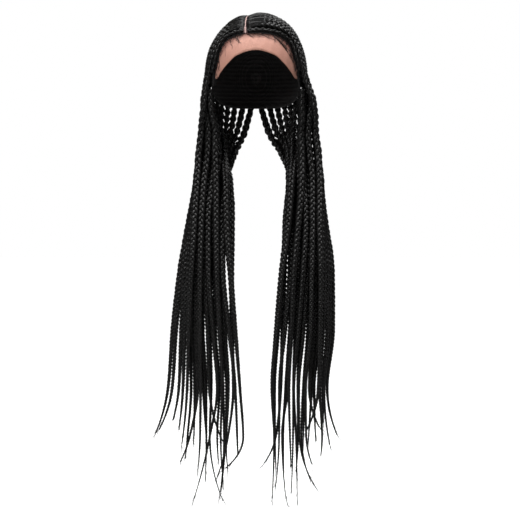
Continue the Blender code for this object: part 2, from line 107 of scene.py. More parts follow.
def smooth_read(
    places: np.ndarray, values: np.ndarray, at: np.ndarray, curled: bool = False
) -> np.ndarray:
    """Read a smooth curve through knots, which doesn't swing beyond them.

    Args:
        places: Rising places of the knots.
        values: Value at each knot, with one column for each quantity or none.
        at: Places to read.
        curled: Whether the last stretch goes on bending to its end.

    Returns:
        Values at those places, with the columns of the knots.
    """
    places = np.asarray(places, float)
    values = np.asarray(values, float)
    if values.ndim == 2:
        return np.stack([smooth_read(places, column, at, curled) for column in values.T], axis=1)
    spans = np.diff(places)
    slopes = np.diff(values) / spans
    tilts = np.zeros_like(values)
    tilts[0] = slopes[0]
    tilts[-1] = slopes[-1]
    before, after = slopes[:-1], slopes[1:]
    steady = before * after > 0.0
    weight_before = 2.0 * spans[1:] + spans[:-1]
    weight_after = spans[1:] + 2.0 * spans[:-1]
    safe_before = np.where(steady, before, 1.0)
    safe_after = np.where(steady, after, 1.0)
    weights = weight_before + weight_after
    mean = weights / (weight_before / safe_before + weight_after / safe_after)
    tilts[1:-1] = np.where(steady, mean, 0.0)
    if curled:
        tilts[-1] = 2.0 * slopes[-1] - tilts[-2]
    at = np.asarray(at, float)
    index = np.clip(np.searchsorted(places, at, side="right") - 1, 0, len(spans) - 1)
    share = np.clip((at - places[index]) / spans[index], 0.0, 1.0)
    square = share * share
    cube = square * share
    return (
        (2.0 * cube - 3.0 * square + 1.0) * values[index]
        + (cube - 2.0 * square + share) * spans[index] * tilts[index]
        + (3.0 * square - 2.0 * cube) * values[index + 1]
        + (cube - square) * spans[index] * tilts[index + 1]
    )


def unit(vectors: np.ndarray) -> np.ndarray:
    """Vectors at length one."""
    return vectors / np.maximum(np.linalg.norm(vectors, axis=-1, keepdims=True), 1e-12)


def smooth_step(share: np.ndarray) -> np.ndarray:
    """Share from 0 to 1 that starts and ends gently."""
    share = np.clip(share, 0.0, 1.0)
    return share * share * (3.0 - 2.0 * share)


def great_arc(start: np.ndarray, end: np.ndarray, share: np.ndarray) -> np.ndarray:
    """Go part of the way along the shortest arc between directions.

    Args:
        start: Directions at share 0.
        end: Directions at share 1.
        share: How far to go, one number for each result.

    Returns:
        Unit directions, one a row.
    """
    share = np.asarray(share, float)[..., None]
    angle = np.arccos(np.clip((start * end).sum(axis=-1, keepdims=True), -1.0, 1.0))
    angle = np.maximum(angle, 1e-6)
    return unit(start * np.sin((1.0 - share) * angle) + end * np.sin(share * angle))


@dataclass(frozen=True)
class Head:
    """Head that the cap fits: a squared-off ellipsoid whose top is the origin."""

    half_width: float = 0.075
    half_length: float = 0.093
    half_height: float = 0.095
    fullness: float = 2.25

    def aim(self, azimuth: np.ndarray, elevation: np.ndarray) -> np.ndarray:
        """Look from the head's centre: azimuth 0 is the face, and 90 the ear at +X.

        Args:
            azimuth: Degrees round the head.
            elevation: Degrees above the head's centre.

        Returns:
            Unit directions, one a row.
        """
        turn = np.radians(azimuth)
        rise = np.radians(elevation)
        flat = np.cos(rise)
        return np.stack([np.sin(turn) * flat, -np.cos(turn) * flat, np.sin(rise)], axis=-1)

    def skin(self, direction: np.ndarray, lift: np.ndarray) -> np.ndarray:
        """Points in these directions.

        Args:
            direction: Unit directions from the head's centre, one a row.
            lift: Distance off the skin.

        Returns:
            Points, one a row.
        """
        lift = np.broadcast_to(np.asarray(lift, float), direction.shape[:-1])[..., None]
        halves = np.array([self.half_width, self.half_length, self.half_height]) + lift
        total = (np.abs(direction / halves) ** self.fullness).sum(axis=-1, keepdims=True)
        points = direction * total ** (-1.0 / self.fullness)
        return points - np.array([0.0, 0.0, self.half_height])

    def outward(self, points: np.ndarray) -> np.ndarray:
        """Direction square to the skin and away from the head.

        Args:
            points: Points near the skin, one a row.

        Returns:
            Unit directions, one a row.
        """
        halves = np.array([self.half_width, self.half_length, self.half_height])
        local = points + np.array([0.0, 0.0, self.half_height])
        steep = np.sign(local) * np.abs(local / halves) ** (self.fullness - 1.0) / halves
        return unit(steep)


@dataclass(frozen=True)
class CapLines:
    """Lines of the cap on the head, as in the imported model."""

    head: Head = Head()
    wall: float = 0.0016
    skin_gap: float = 0.001
    edge: tuple[Aim, ...] = (
        # azimuth, elevation of the cap's edge
        (0, 43), (20, 42), (37, 38), (45, 32), (50, 12), (60, -7), (72, -15),
        (90, -7), (105, -20), (125, -30), (150, -33), (180, -33),
    )
    lace_edge: tuple[Aim, ...] = (
        # azimuth, elevation of the lace's front edge
        (0, 24), (20, 19), (31, 11), (42, 2), (50, -4), (56, -5),
    )
    lace_end_azimuth: float = 56.0
    part_front: Aim = (-14.0, 45.0)
    part_crown: Aim = (-170.0, 69.0)
    temple_end_azimuth: float = 60.0
    back_seam_end: Aim = (124.0, -29.0)
    first_row_inset: float = 0.0085
    side_rows: int = 9
    back_rows: int = 12
    row_start: float = 0.025
    back_start: float = 0.10
    ridge: float = 0.0064
    ridge_at_end: float = 0.0100
    hairline_span: float = 0.02
    trail_points: int = 200
    ear_pull: int = 6
    volume: float = 0.0018
    volume_end: float = 0.6

    def swell(self, side: Side, share: np.ndarray) -> np.ndarray:
        """Height that the hair of a side gains or lacks on its way down from the parting."""
        done = np.clip(share / self.volume_end, 0.0, 1.0)
        return side.value * self.volume * np.sin(math.pi * done)

    def read(self, table: tuple[Aim, ...], azimuth: np.ndarray) -> np.ndarray:
        """Elevation of an edge, the same on both sides and level in the middle.

        Args:
            table: Azimuth and elevation of the edge's knots on the right.
            azimuth: Degrees round the head, one for each result.

        Returns:
            Elevations in degrees.
        """
        right = np.array(table, float)
        left = right[:0:-1] * (-1.0, 1.0)
        knots = np.concatenate([left, right])
        return smooth_read(knots[:, 0], knots[:, 1], azimuth)

    def front(self) -> np.ndarray:
        """Direction of the parting's end at the hairline."""
        return self.head.aim(*self.part_front)

    def crown(self) -> np.ndarray:
        """Direction of the parting's end at the crown."""
        return self.head.aim(*self.part_crown)

    def hairline(self, side: Side, share: np.ndarray) -> np.ndarray:
        """Directions along the cap's front edge, from the parting to the temple.

        Args:
            side: Side of the wig.
            share: Share of the way to the temple, by length.

        Returns:
            Unit directions, one a row.
        """
        first = self.part_front[0] * side.value
        azimuths = np.linspace(first, self.temple_end_azimuth, self.trail_points)
        trail = self.head.aim(side.value * azimuths, self.read(self.edge, azimuths))
        steps = np.linalg.norm(np.diff(trail, axis=0), axis=1)
        runs = np.concatenate([[0.0], np.cumsum(steps)]) / steps.sum()
        share = np.atleast_1d(share)
        return unit(np.stack([np.interp(share, runs, trail[:, axis]) for axis in range(3)], axis=1))

    def above_hairline(self, side: Side, share: np.ndarray, distance: float) -> np.ndarray:
        """Directions a distance inside the cap's front edge.

        Args:
            side: Side of the wig.
            share: Share of the way from the parting to the temple.
            distance: Distance from the edge, square to it.

        Returns:
            Unit directions, one a row.
        """
        share = np.atleast_1d(np.asarray(share, float))
        before = self.hairline(side, np.maximum(share - self.hairline_span, 0.0))
        after = self.hairline(side, np.minimum(share + self.hairline_span, 1.0))
        here = self.hairline(side, share)
        inward = unit(np.cross(after - before, here)) * -side.value
        return unit(here + inward * distance / self.head.half_height)

    def side_row(self, side: Side, across: float, along: np.ndarray) -> np.ndarray:
        """Directions on the rows of one side.

        Args:
            side: Side of the wig.
            across: Share from the hairline back to the seam of the back rows.
            along: Shares from the parting down to the height of the ears.

        Returns:
            Unit directions, one a row.
        """
        along = np.asarray(along, float)
        crown = self.crown()
        end = self.head.aim(side.value * self.back_seam_end[0], self.back_seam_end[1])
        angle = math.acos(float(crown @ end))
        level = math.atan2(math.sin(angle) * crown[2], math.cos(angle) * crown[2] - end[2]) / angle
        first = self.above_hairline(side, along, self.first_row_inset)
        at_ear = self.head.aim(side.value * self.temple_end_azimuth, 0.0)
        first = great_arc(first, at_ear, along ** self.ear_pull)
        last = great_arc(crown, end, along * level)
        return great_arc(first, last, np.full(len(along), across))

    def back_row(self, across: float, along: np.ndarray) -> np.ndarray:
        """Directions on the rows of the back, which fan out from the crown.

        Args:
            across: Share from the left seam to the right one.
            along: Shares from the crown down to the nape.

        Returns:
            Unit directions, one a row.
        """
        along = np.asarray(along, float)
        left = -self.back_seam_end[0]
        azimuth = left + (-FULL_TURN - 2.0 * left) * across
        end = self.head.aim(azimuth, self.back_seam_end[1])
        return great_arc(self.crown(), end, along)


CAP = CapLines()


class NodeSheet:
    """Short way to write the nodes of one material."""

    def __init__(self, name: str) -> None:
        """Start a material.

        Args:
            name: Name of the material.
        """
        self.material = bpy.data.materials.new(name)
        self.material.use_nodes = True
        self.tree = self.material.node_tree
        self.shader = self.tree.nodes["Principled BSDF"]

    def add(self, kind: str, inputs: dict | None = None, **settings: object) -> bpy.types.Node:
        """Add a node.

        Args:
            kind: Kind of node, without the words ShaderNode.
            inputs: Values or sockets for its inputs, by name or number.
            settings: Properties of the node.

        Returns:
            The node.
        """
        node = self.tree.nodes.new("ShaderNode" + kind)
        for key, value in settings.items():
            setattr(node, key, value)
        for key, value in (inputs or {}).items():
            self.put(node.inputs[key], value)
        return node

    def put(self, socket: bpy.types.NodeSocket, value: object) -> None:
        """Link a socket to an input, or set its value.

        Args:
            socket: The input.
            value: A socket to link, or a plain value.
        """
        if isinstance(value, bpy.types.NodeSocket):
            self.tree.links.new(value, socket)
        else:
            socket.default_value = value

    def surface(self, **values: object) -> None:
        """Set or link inputs of the shader, with _ for each space of their names."""
        for key, value in values.items():
            self.put(self.shader.inputs[key.replace("_", " ")], value)

    def ramp(self, factor: bpy.types.NodeSocket, stops: tuple) -> bpy.types.NodeSocket:
        """Colours along a factor.

        Args:
            factor: Socket with the factor.
            stops: Place and colour of each stop.

        Returns:
            Colour socket.
        """
        node = self.add("ValToRGB", {"Fac": factor})
        elements = node.color_ramp.elements
        while len(elements) < len(stops):
            elements.new(0.5)
        for element, (place, colour) in zip(elements, stops):
            element.position = place
            element.color = (*colour, 1.0)
        return node.outputs["Color"]

    def ranged(self, value: bpy.types.NodeSocket, low: float, high: float) -> bpy.types.NodeSocket:
        """Move a value from 0..1 to another range."""
        node = self.add("MapRange", {"Value": value, "To Min": low, "To Max": high})
        return node.outputs["Result"]


@dataclass(frozen=True)
class HairFinish:
    """Synthetic hair, combed along its strand: dull sheen with fine fibres whose colour varies at
    random, and whose lightest streaks are painted highlights.
    """

    name: str = "black_braiding_hair"
    deep: Colour = (0.0008, 0.0007, 0.0007)
    middle: Colour = (0.0024, 0.0021, 0.0020)
    # lightest streak colour: painted highlight along the fibres, in place of specular streaks
    light: Colour = (0.016, 0.0145, 0.0135)
    smooth: float = 0.27
    rough: float = 0.42
    streaks: float = 9.0
    fibres: float = 42.0
    bump: float = 0.55
    bump_depth: float = 0.0012
    shine: float = 0.30

    def make(self) -> bpy.types.Material:
        """Build the material; its strand map runs along and round each strand.

        Returns:
            The material.
        """
        sheet = NodeSheet(self.name)
        strand = sheet.add("UVMap", uv_map=STRAND_MAP).outputs["UV"]
        wide = sheet.add("Mapping", {"Vector": strand, "Scale": (0.9, self.streaks, 1.0)})
        streak = sheet.add(
            "TexNoise",
            {"Vector": wide.outputs["Vector"], "Scale": 1.0, "Detail": 3.0, "Roughness": 0.6},
        )
        fine = sheet.add("Mapping", {"Vector": strand, "Scale": (1.4, self.fibres, 1.0)})
        fibre = sheet.add(
            "TexNoise",
            {"Vector": fine.outputs["Vector"], "Scale": 1.0, "Detail": 2.0, "Roughness": 0.7},
        )
        both = sheet.add(
            "Math",
            {0: streak.outputs["Fac"], 1: fibre.outputs["Fac"]},
            operation="MULTIPLY",
        )
        # colour from the streak and fibre noise: random dark tones, with painted highlight streaks
        # at the light stop
        colour = sheet.ramp(
            both.outputs["Value"], ((0.12, self.deep), (0.26, self.middle), (0.42, self.light))
        )
        bump = sheet.add(
            "Bump",
            {
                "Height": both.outputs["Value"],
                "Strength": self.bump,
                "Distance": self.bump_depth,
            },
        )
        sheet.surface(
            Base_Color=colour,
            Roughness=sheet.ranged(fibre.outputs["Fac"], self.smooth, self.rough),
            Normal=bump.outputs["Normal"],
            Specular_IOR_Level=self.shine,
        )
        return sheet.material


@dataclass(frozen=True)
class NetFinish:
    """Black stretch net of the cap, with sewn rings."""

    name: str = "black_cap_net"
    hole: Colour = (0.004, 0.004, 0.004)
    thread: Colour = (0.055, 0.050, 0.050)
    cells_per_metre: float = 620.0
    ring_spacing: float = 0.011

    def make(self) -> bpy.types.Material:
        """Build the material on Object coordinates.

        Returns:
            The material.
        """
        sheet = NodeSheet(self.name)
        place = sheet.add("TexCoord").outputs["Object"]
        cells = sheet.add(
            "TexVoronoi",
            {"Vector": place, "Scale": self.cells_per_metre, "Randomness": 0.35},
            feature="DISTANCE_TO_EDGE",
        )
        threads = sheet.ranged(cells.outputs["Distance"], 1.0, -6.0)
        rings = sheet.add(
            "TexWave",
            {"Vector": place, "Scale": 0.5 / self.ring_spacing, "Distortion": 0.6, "Detail": 1.0},
            bands_direction="Z",
            wave_profile="SIN",
        )
        colour = sheet.ramp(threads, ((0.0, self.hole), (1.0, self.thread)))
        bump = sheet.add("Bump", {"Height": threads, "Strength": 0.5, "Distance": 0.0005})
        seams = sheet.add(
            "Bump",
            {
                "Height": rings.outputs["Fac"],
                "Strength": 0.6,
                "Distance": 0.0012,
                "Normal": bump.outputs["Normal"],
            },
        )
        sheet.surface(Base_Color=colour, Roughness=0.8, Normal=seams.outputs["Normal"])
        return sheet.material


@dataclass(frozen=True)
class LaceFinish:
    """Fine skin-toned net, half see-through, with painted shadow of the hair along the hairline
    that reaches further down at both sides, and darker along its cut edge.
    """

    name: str = "skin_toned_lace"
    # painted shadow of the hair roots on the lace, by the hairline
    painted_hair_shadow: Colour = (0.22, 0.095, 0.075)
    middle: Colour = (0.58, 0.30, 0.23)
    front: Colour = (0.56, 0.28, 0.21)
    cut_edge: Colour = (0.36, 0.17, 0.12)
    # pulls the painted hair shadow further down towards both sides
    side_shade: float = -1.1
    cells_per_metre: float = 900.0
    least_cover: float = 0.55
    most_cover: float = 0.95

    def make(self) -> bpy.types.Material:
        """Build the material; its cloth map runs across and down the lace.

        Returns:
            The material.
        """
        sheet = NodeSheet(self.name)
        cloth = sheet.add("UVMap", uv_map=CLOTH_MAP).outputs["UV"]
        place = sheet.add("TexCoord").outputs["Object"]
        split = sheet.add("SeparateXYZ", {"Vector": cloth})
        off = sheet.add("Math", {0: split.outputs["X"], 1: 0.5}, operation="SUBTRACT")
        square = sheet.add(
            "Math", {0: off.outputs["Value"], 1: off.outputs["Value"]}, operation="MULTIPLY"
        )
        down = sheet.add(
            "Math",
            {0: square.outputs["Value"], 1: self.side_shade, 2: split.outputs["Y"]},
            operation="MULTIPLY_ADD",
        )
        cloud = sheet.add("TexNoise", {"Vector": place, "Scale": 60.0, "Detail": 3.0})
        wander = sheet.add(
            "Math",
            {0: cloud.outputs["Fac"], 1: 0.12, 2: down.outputs["Value"]},
            operation="MULTIPLY_ADD",
        )
        # painted hair shadow at the top, lace tone in the middle, darker cut edge at the front
        tone = sheet.ramp(
            wander.outputs["Value"],
            (
                (0.10, self.painted_hair_shadow), (0.42, self.middle), (0.92, self.front),
                (1.0, self.cut_edge),
            ),
        )
        cells = sheet.add(
            "TexVoronoi",
            {"Vector": place, "Scale": self.cells_per_metre, "Randomness": 0.25},
            feature="DISTANCE_TO_EDGE",
        )
        threads = sheet.ranged(cells.outputs["Distance"], 1.0, -5.0)
        cover = sheet.add(
            "MapRange",
            {"Value": threads, "To Min": self.least_cover, "To Max": self.most_cover},
        )
        bump = sheet.add("Bump", {"Height": threads, "Strength": 0.35, "Distance": 0.0003})
        sheet.surface(
            Base_Color=tone,
            Alpha=cover.outputs["Result"],
            Roughness=0.62,
            Normal=bump.outputs["Normal"],
        )
        return sheet.material


@dataclass(frozen=True)
class PartingFinish:
    """Skin-toned base of the parting: pale along its middle, dark red where hair leaves it, which
    stands for its roots and for painted shade from the hair beside it.
    """

    name: str = "parting_base"
    pale: Colour = (0.46, 0.31, 0.28)
    pink: Colour = (0.15, 0.072, 0.066)
    # dark red edge colour: hair roots, and partly painted shade of the rows beside the parting
    root: Colour = (0.060, 0.027, 0.027)

    def make(self) -> bpy.types.Material:
        """Build the material; its cloth map runs along and across the strip.

        Returns:
            The material.
        """
        sheet = NodeSheet(self.name)
        cloth = sheet.add("UVMap", uv_map=CLOTH_MAP).outputs["UV"]
        place = sheet.add("TexCoord").outputs["Object"]
        across = sheet.add("SeparateXYZ", {"Vector": cloth}).outputs["Y"]
        off = sheet.add("Math", {0: across, 1: 0.5}, operation="SUBTRACT")
        off = sheet.add("Math", {0: off.outputs["Value"]}, operation="ABSOLUTE")
        grain = sheet.add("TexNoise", {"Vector": place, "Scale": 900.0, "Detail": 3.0})
        wander = sheet.add(
            "Math",
            {0: grain.outputs["Fac"], 1: 0.16, 2: off.outputs["Value"]},
            operation="MULTIPLY_ADD",
        )
        # pale middle, then pink, then dark red edges that are partly painted shade
        tone = sheet.ramp(
            wander.outputs["Value"], ((0.105, self.pale), (0.19, self.pink), (0.36, self.root))
        )
        bump = sheet.add(
            "Bump", {"Height": grain.outputs["Fac"], "Strength": 0.3, "Distance": 0.0003}
        )
        sheet.surface(Base_Color=tone, Roughness=0.6, Normal=bump.outputs["Normal"])
        return sheet.material


@dataclass(frozen=True)
class StudioFinish:
    """Plain pale surface of the studio."""

    name: str = "studio_white"
    colour: Colour = (0.45, 0.45, 0.45)
    glow: float = 1.0

    def make(self) -> bpy.types.Material:
        """Build the material, which looks evenly lit to the camera.

        Returns:
            The material.
        """
        sheet = NodeSheet(self.name)
        seen = sheet.add("LightPath").outputs["Is Camera Ray"]
        sheet.surface(
            Base_Color=(*self.colour, 1.0),
            Roughness=0.9,
            Emission_Color=(1.0, 1.0, 1.0, 1.0),
            Emission_Strength=sheet.ranged(seen, 0.0, self.glow),
        )
        return sheet.material


@dataclass
class MeshParts:
    """Vertices, faces and map of one mesh while it grows."""

    map_name: str
    vertices: list[np.ndarray] = field(default_factory=list)
    faces: list[list[int]] = field(default_factory=list)
    map_points: list[np.ndarray] = field(default_factory=list)
    count: int = 0

    def add(self, vertices: np.ndarray, faces: list[list[int]], map_points: np.ndarray) -> None:
        """Add a body.

        Args:
            vertices: Its points, one a row.
            faces: Its faces, as numbers of its own points.
            map_points: Place on the map of each corner of each face, in order.
        """
        self.vertices.append(vertices)
        self.faces.extend([[corner + self.count for corner in face] for face in faces])
        self.map_points.append(map_points)
        self.count += len(vertices)

    def build(self, name: str, material: bpy.types.Material) -> bpy.types.Object:
        """Make the object.

        Args:
            name: Name of the piece.
            material: Its finish.

        Returns:
            The object, at the origin, with smooth faces.
        """
        mesh = bpy.data.meshes.new(name)
        mesh.from_pydata(np.concatenate(self.vertices), [], self.faces)
        layer = mesh.uv_layers.new(name=self.map_name)
        layer.data.foreach_set("uv", np.concatenate(self.map_points).astype(np.float32).ravel())
        mesh.shade_smooth()
        mesh.materials.append(material)
        piece = bpy.data.objects.new(name, mesh)
        bpy.context.scene.collection.objects.link(piece)
        return piece


def settle_piece(piece: bpy.types.Object, slot: Slot, *nodes: str) -> None:
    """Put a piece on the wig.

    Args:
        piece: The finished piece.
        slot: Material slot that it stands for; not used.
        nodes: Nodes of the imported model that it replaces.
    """
    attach(piece, BODY)
    if nodes:
        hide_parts(*nodes)
    LOG.info("%s: %d faces", piece.name, len(piece.data.polygons))


@dataclass(frozen=True)
class Route:
    """Line that a plait follows, with its sizes on the way."""

    points: np.ndarray
    facing: np.ndarray
    half_width: np.ndarray
    half_depth: np.ndarray
    pitch: np.ndarray

    def runs(self) -> np.ndarray:
        """Length from the start to each point."""
        steps = np.linalg.norm(np.diff(self.points, axis=0), axis=1)
        return np.concatenate([[0.0], np.cumsum(steps)])

    def smoothed(self, step: float) -> "Route":
        """Route through the same knots as a smooth curve.

        Args:
            step: Distance between its points.

        Returns:
            The finer route.
        """
        runs = self.runs()
        at = np.linspace(0.0, runs[-1], int(runs[-1] / step) + 2)
        return Route(
            smooth_read(runs, self.points, at, curled=True),
            unit(smooth_read(runs, self.facing, at)),
            smooth_read(runs, self.half_width, at),
            smooth_read(runs, self.half_depth, at),
            np.interp(at, runs, self.pitch),
        )

    def at_runs(self, at: np.ndarray) -> "Route":
        """Route read at lengths from its start.

        Args:
            at: The lengths.

        Returns:
            The route with one point at each of them.
        """
        runs = self.runs()

        def read(values: np.ndarray) -> np.ndarray:
            """One column or several, read at the lengths."""
            if values.ndim == 1:
                return np.interp(at, runs, values)
            return np.stack([np.interp(at, runs, column) for column in values.T], axis=1)

        return Route(
            read(self.points), unit(read(self.facing)), read(self.half_width),
            read(self.half_depth), read(self.pitch),
        )


@dataclass(frozen=True)
class PlaitStyle:
    """How three strands are plaited, as shares of the plait's half width and half depth."""

    swing: float = 0.53
    bulge: float = 0.50
    strand_width: float = 0.50
    strand_depth: float = 0.54
    steps_per_turn: int = 12
    strand_sides: int = 6
    route_step: float = 0.001
    least_steps: int = 4
    unevenness: float = 0.07
    unevenness_steps: int = 6
    map_length: float = 0.01
    map_spread: float = 50.0

    def strands(self, route: Route, rng: np.random.Generator) -> "Strands":
        """Plait three strands along a route.

        Args:
            route: The line and its sizes.
            rng: Source of the small unevenness.

        Returns:
            The rings of the three strands.
        """
        fine = route.smoothed(self.route_step)
        runs = fine.runs()
        rate = THIRD_OF_TURN / fine.pitch
        turns = np.concatenate([[0.0], np.cumsum(0.5 * (rate[1:] + rate[:-1]) * np.diff(runs))])
        steps = max(int(turns[-1] / (2.0 * math.pi) * self.steps_per_turn), self.least_steps)
        phase = np.linspace(0.0, turns[-1], steps + 1)
        at = np.interp(phase, turns, runs)
        line = fine.at_runs(at)
        along = unit(np.gradient(line.points, axis=0))
        out = unit(line.facing - along * (line.facing * along).sum(axis=1, keepdims=True))
        across = np.cross(out, along)
        rings = []
        lengths = []
        angles = 2.0 * math.pi * np.arange(self.strand_sides) / self.strand_sides - 0.5 * math.pi
        offset = rng.uniform(0.0, 2.0 * math.pi)
        for strand in range(3):
            turn = phase + offset + THIRD_OF_TURN * strand
            wobble = self.slow_noise(rng, len(at))
            swing = line.half_width * self.swing * np.sin(turn)
            bulge = line.half_depth * self.bulge * np.sin(2.0 * turn)
            middle = line.points + across * swing[:, None] + out * bulge[:, None]
            ahead = unit(np.gradient(middle, axis=0))
            up = unit(out - ahead * (out * ahead).sum(axis=1, keepdims=True))
            sideways = np.cross(up, ahead)
            wide = line.half_width * self.strand_width * wobble
            deep = line.half_depth * self.strand_depth * wobble
            ring = (
                middle[:, None, :]
                + sideways[:, None, :] * (np.cos(angles)[None, :] * wide[:, None])[..., None]
                + up[:, None, :] * (np.sin(angles)[None, :] * deep[:, None])[..., None]
            )
            rings.append(ring)
            step = np.linalg.norm(np.diff(middle, axis=0), axis=1)
            start = rng.uniform(0.0, self.map_spread)
            lengths.append(start + np.concatenate([[0.0], np.cumsum(step)]) / self.map_length)
        return Strands(np.stack(rings), np.stack(lengths), at)

    def slow_noise(self, rng: np.random.Generator, count: int) -> np.ndarray:
        """Factors close to 1 that change slowly along a strand."""
        knots = rng.normal(1.0, self.unevenness, count // self.unevenness_steps + 3)
        return np.interp(np.linspace(0.0, len(knots) - 1.0, count), np.arange(len(knots)), knots)


@dataclass(frozen=True)
class Strands:
    """Rings of points of plaited strands, and the length on the route of each ring."""

    rings: np.ndarray
    lengths: np.ndarray
    at: np.ndarray

    def split(self, run: float) -> tuple["Strands", "Strands"]:
        """Cut the plait in two that share a ring.

        Args:
            run: Length on the route where the cut is.

        Returns:
            The part before and the part after.
        """
        index = int(np.clip(np.searchsorted(self.at, run), 1, len(self.at) - 2))
        end = index + 1
        before = Strands(self.rings[:, :end], self.lengths[:, :end], self.at[:end])
        after = Strands(self.rings[:, index:], self.lengths[:, index:], self.at[index:])
        return before, after

    def add_to(self, parts: MeshParts) -> None:
        """Add the strands to a mesh, each a closed body.

        Args:
            parts: The mesh.
        """
        count, sides = self.rings.shape[1:3]
        base = (np.arange(count - 1) * sides)[:, None] + np.arange(sides)[None, :]
        turned = (np.arange(count - 1) * sides)[:, None] + (np.arange(sides)[None, :] + 1) % sides
        quads = np.stack([base, turned, turned + sides, base + sides], axis=-1).reshape(-1, 4)
        last = (count - 1) * sides
        faces = quads.tolist()
        faces.append(list(range(sides - 1, -1, -1)))
        faces.append(list(range(last, last + sides)))
        low = np.broadcast_to((np.arange(sides) / sides)[None, :], (count - 1, sides))
        high = low + 1.0 / sides
        for ring, length in zip(self.rings, self.lengths):
            near = np.broadcast_to(length[:-1, None], (count - 1, sides))
            far = np.broadcast_to(length[1:, None], (count - 1, sides))
            corners = np.stack(
                [
                    np.stack([near, low], axis=-1), np.stack([near, high], axis=-1),
                    np.stack([far, high], axis=-1), np.stack([far, low], axis=-1),
                ],
                axis=2,
            ).reshape(-1, 2)
            ends = np.zeros((2 * sides, 2))
            ends[:sides, 0] = length[0]
            ends[sides:, 0] = length[-1]
            parts.add(ring.reshape(-1, 3), faces, np.concatenate([corners, ends]))


@dataclass
class FineHairs:
    """Many thin loose hairs in one mesh, each three-sided and pointed."""

    parts: MeshParts = field(default_factory=lambda: MeshParts(STRAND_MAP))
    tip: float = 0.02

    def add(self, points: np.ndarray, radius: float) -> None:
        """Add a hair.

        Args:
            points: Points that it follows, from its root.
            radius: Its radius at the root.
        """
        ahead = unit(np.gradient(points, axis=0))
        helper = np.where(np.abs(ahead[:, 2:]) > 0.9, [[0.0, 1.0, 0.0]], [[0.0, 0.0, 1.0]])
        first = unit(np.cross(ahead, helper))
        second = np.cross(ahead, first)
        count = len(points)
        size = radius * np.sqrt(np.linspace(1.0, self.tip, count))
        angles = THIRD_OF_TURN * np.arange(3)
        ring = (
            points[:, None, :]
            + first[:, None, :] * (np.cos(angles)[None, :] * size[:, None])[..., None]
            + second[:, None, :] * (np.sin(angles)[None, :] * size[:, None])[..., None]
        )
        length = np.linspace(0.0, 1.0, count)[None, :]
        Strands(ring[None], length, length[0]).add_to(self.parts)


@dataclass(frozen=True)
class LooseHairs:
    """Hairs that stand out of a plait, and the wisps at its end.

    The neat start is a share of the plait; the neat end and the wisps count rings from its tip.
    """

    flyaways: int = 36
    flyaway_length: Range = (0.006, 0.016)
    flyaway_run: float = 0.9
    flyaway_lean: Range = (0.05, 0.4)
    flyaway_bend: float = 0.25
    flyaway_radius: float = 0.00009
    neat_start: float = 0.125
    neat_end: int = 12
    wisps: int = 10
    wisp_rings: int = 22
    wisp_length: Range = (0.010, 0.034)
    wisp_bend: float = 0.24
    wisp_radius: float = 0.00036
    room: float = 0.010

    def add_to(self, hairs: FineHairs, strands: Strands, rng: np.random.Generator) -> None:
        """Add the loose hairs of one plait.

        Args:
            hairs: Mesh that takes them.
            strands: Strands of the plait.
            rng: Source of their places and bends.
        """
        middle = strands.rings.mean(axis=(0, 2))
        ahead = unit(np.gradient(middle, axis=0))
        first, last = int(len(middle) * self.neat_start), len(middle) - self.neat_end
        share = np.linspace(0.0, 1.0, 5)[:, None]
        for _ in range(self.flyaways):
            index = int(rng.integers(first, last))
            ring = strands.rings[rng.integers(3), index, rng.integers(strands.rings.shape[2])]
            out = unit(ring - middle[index])
            length = rng.uniform(*self.flyaway_length)
            bend = rng.normal(0.0, self.flyaway_bend, 3)
            lean = rng.uniform(*self.flyaway_lean)
            course = ahead[index] * share * self.flyaway_run + out * share * lean
            hairs.add(ring + length * (course + bend * share ** 2), self.flyaway_radius)
        low, high = np.array(CAD_BOX[0]) - self.room, np.array(CAD_BOX[1]) + self.room
        share = np.linspace(0.0, 1.0, 9)[:, None]
        for _ in range(self.wisps):
            index = -2 - int(rng.integers(0, self.wisp_rings))
            length = rng.uniform(*self.wisp_length)
            bend = rng.normal(0.0, self.wisp_bend, 3)
            points = middle[index] + length * (ahead[index] * share + bend * share ** 2)
            hairs.add(np.clip(points, low, high), self.wisp_radius)


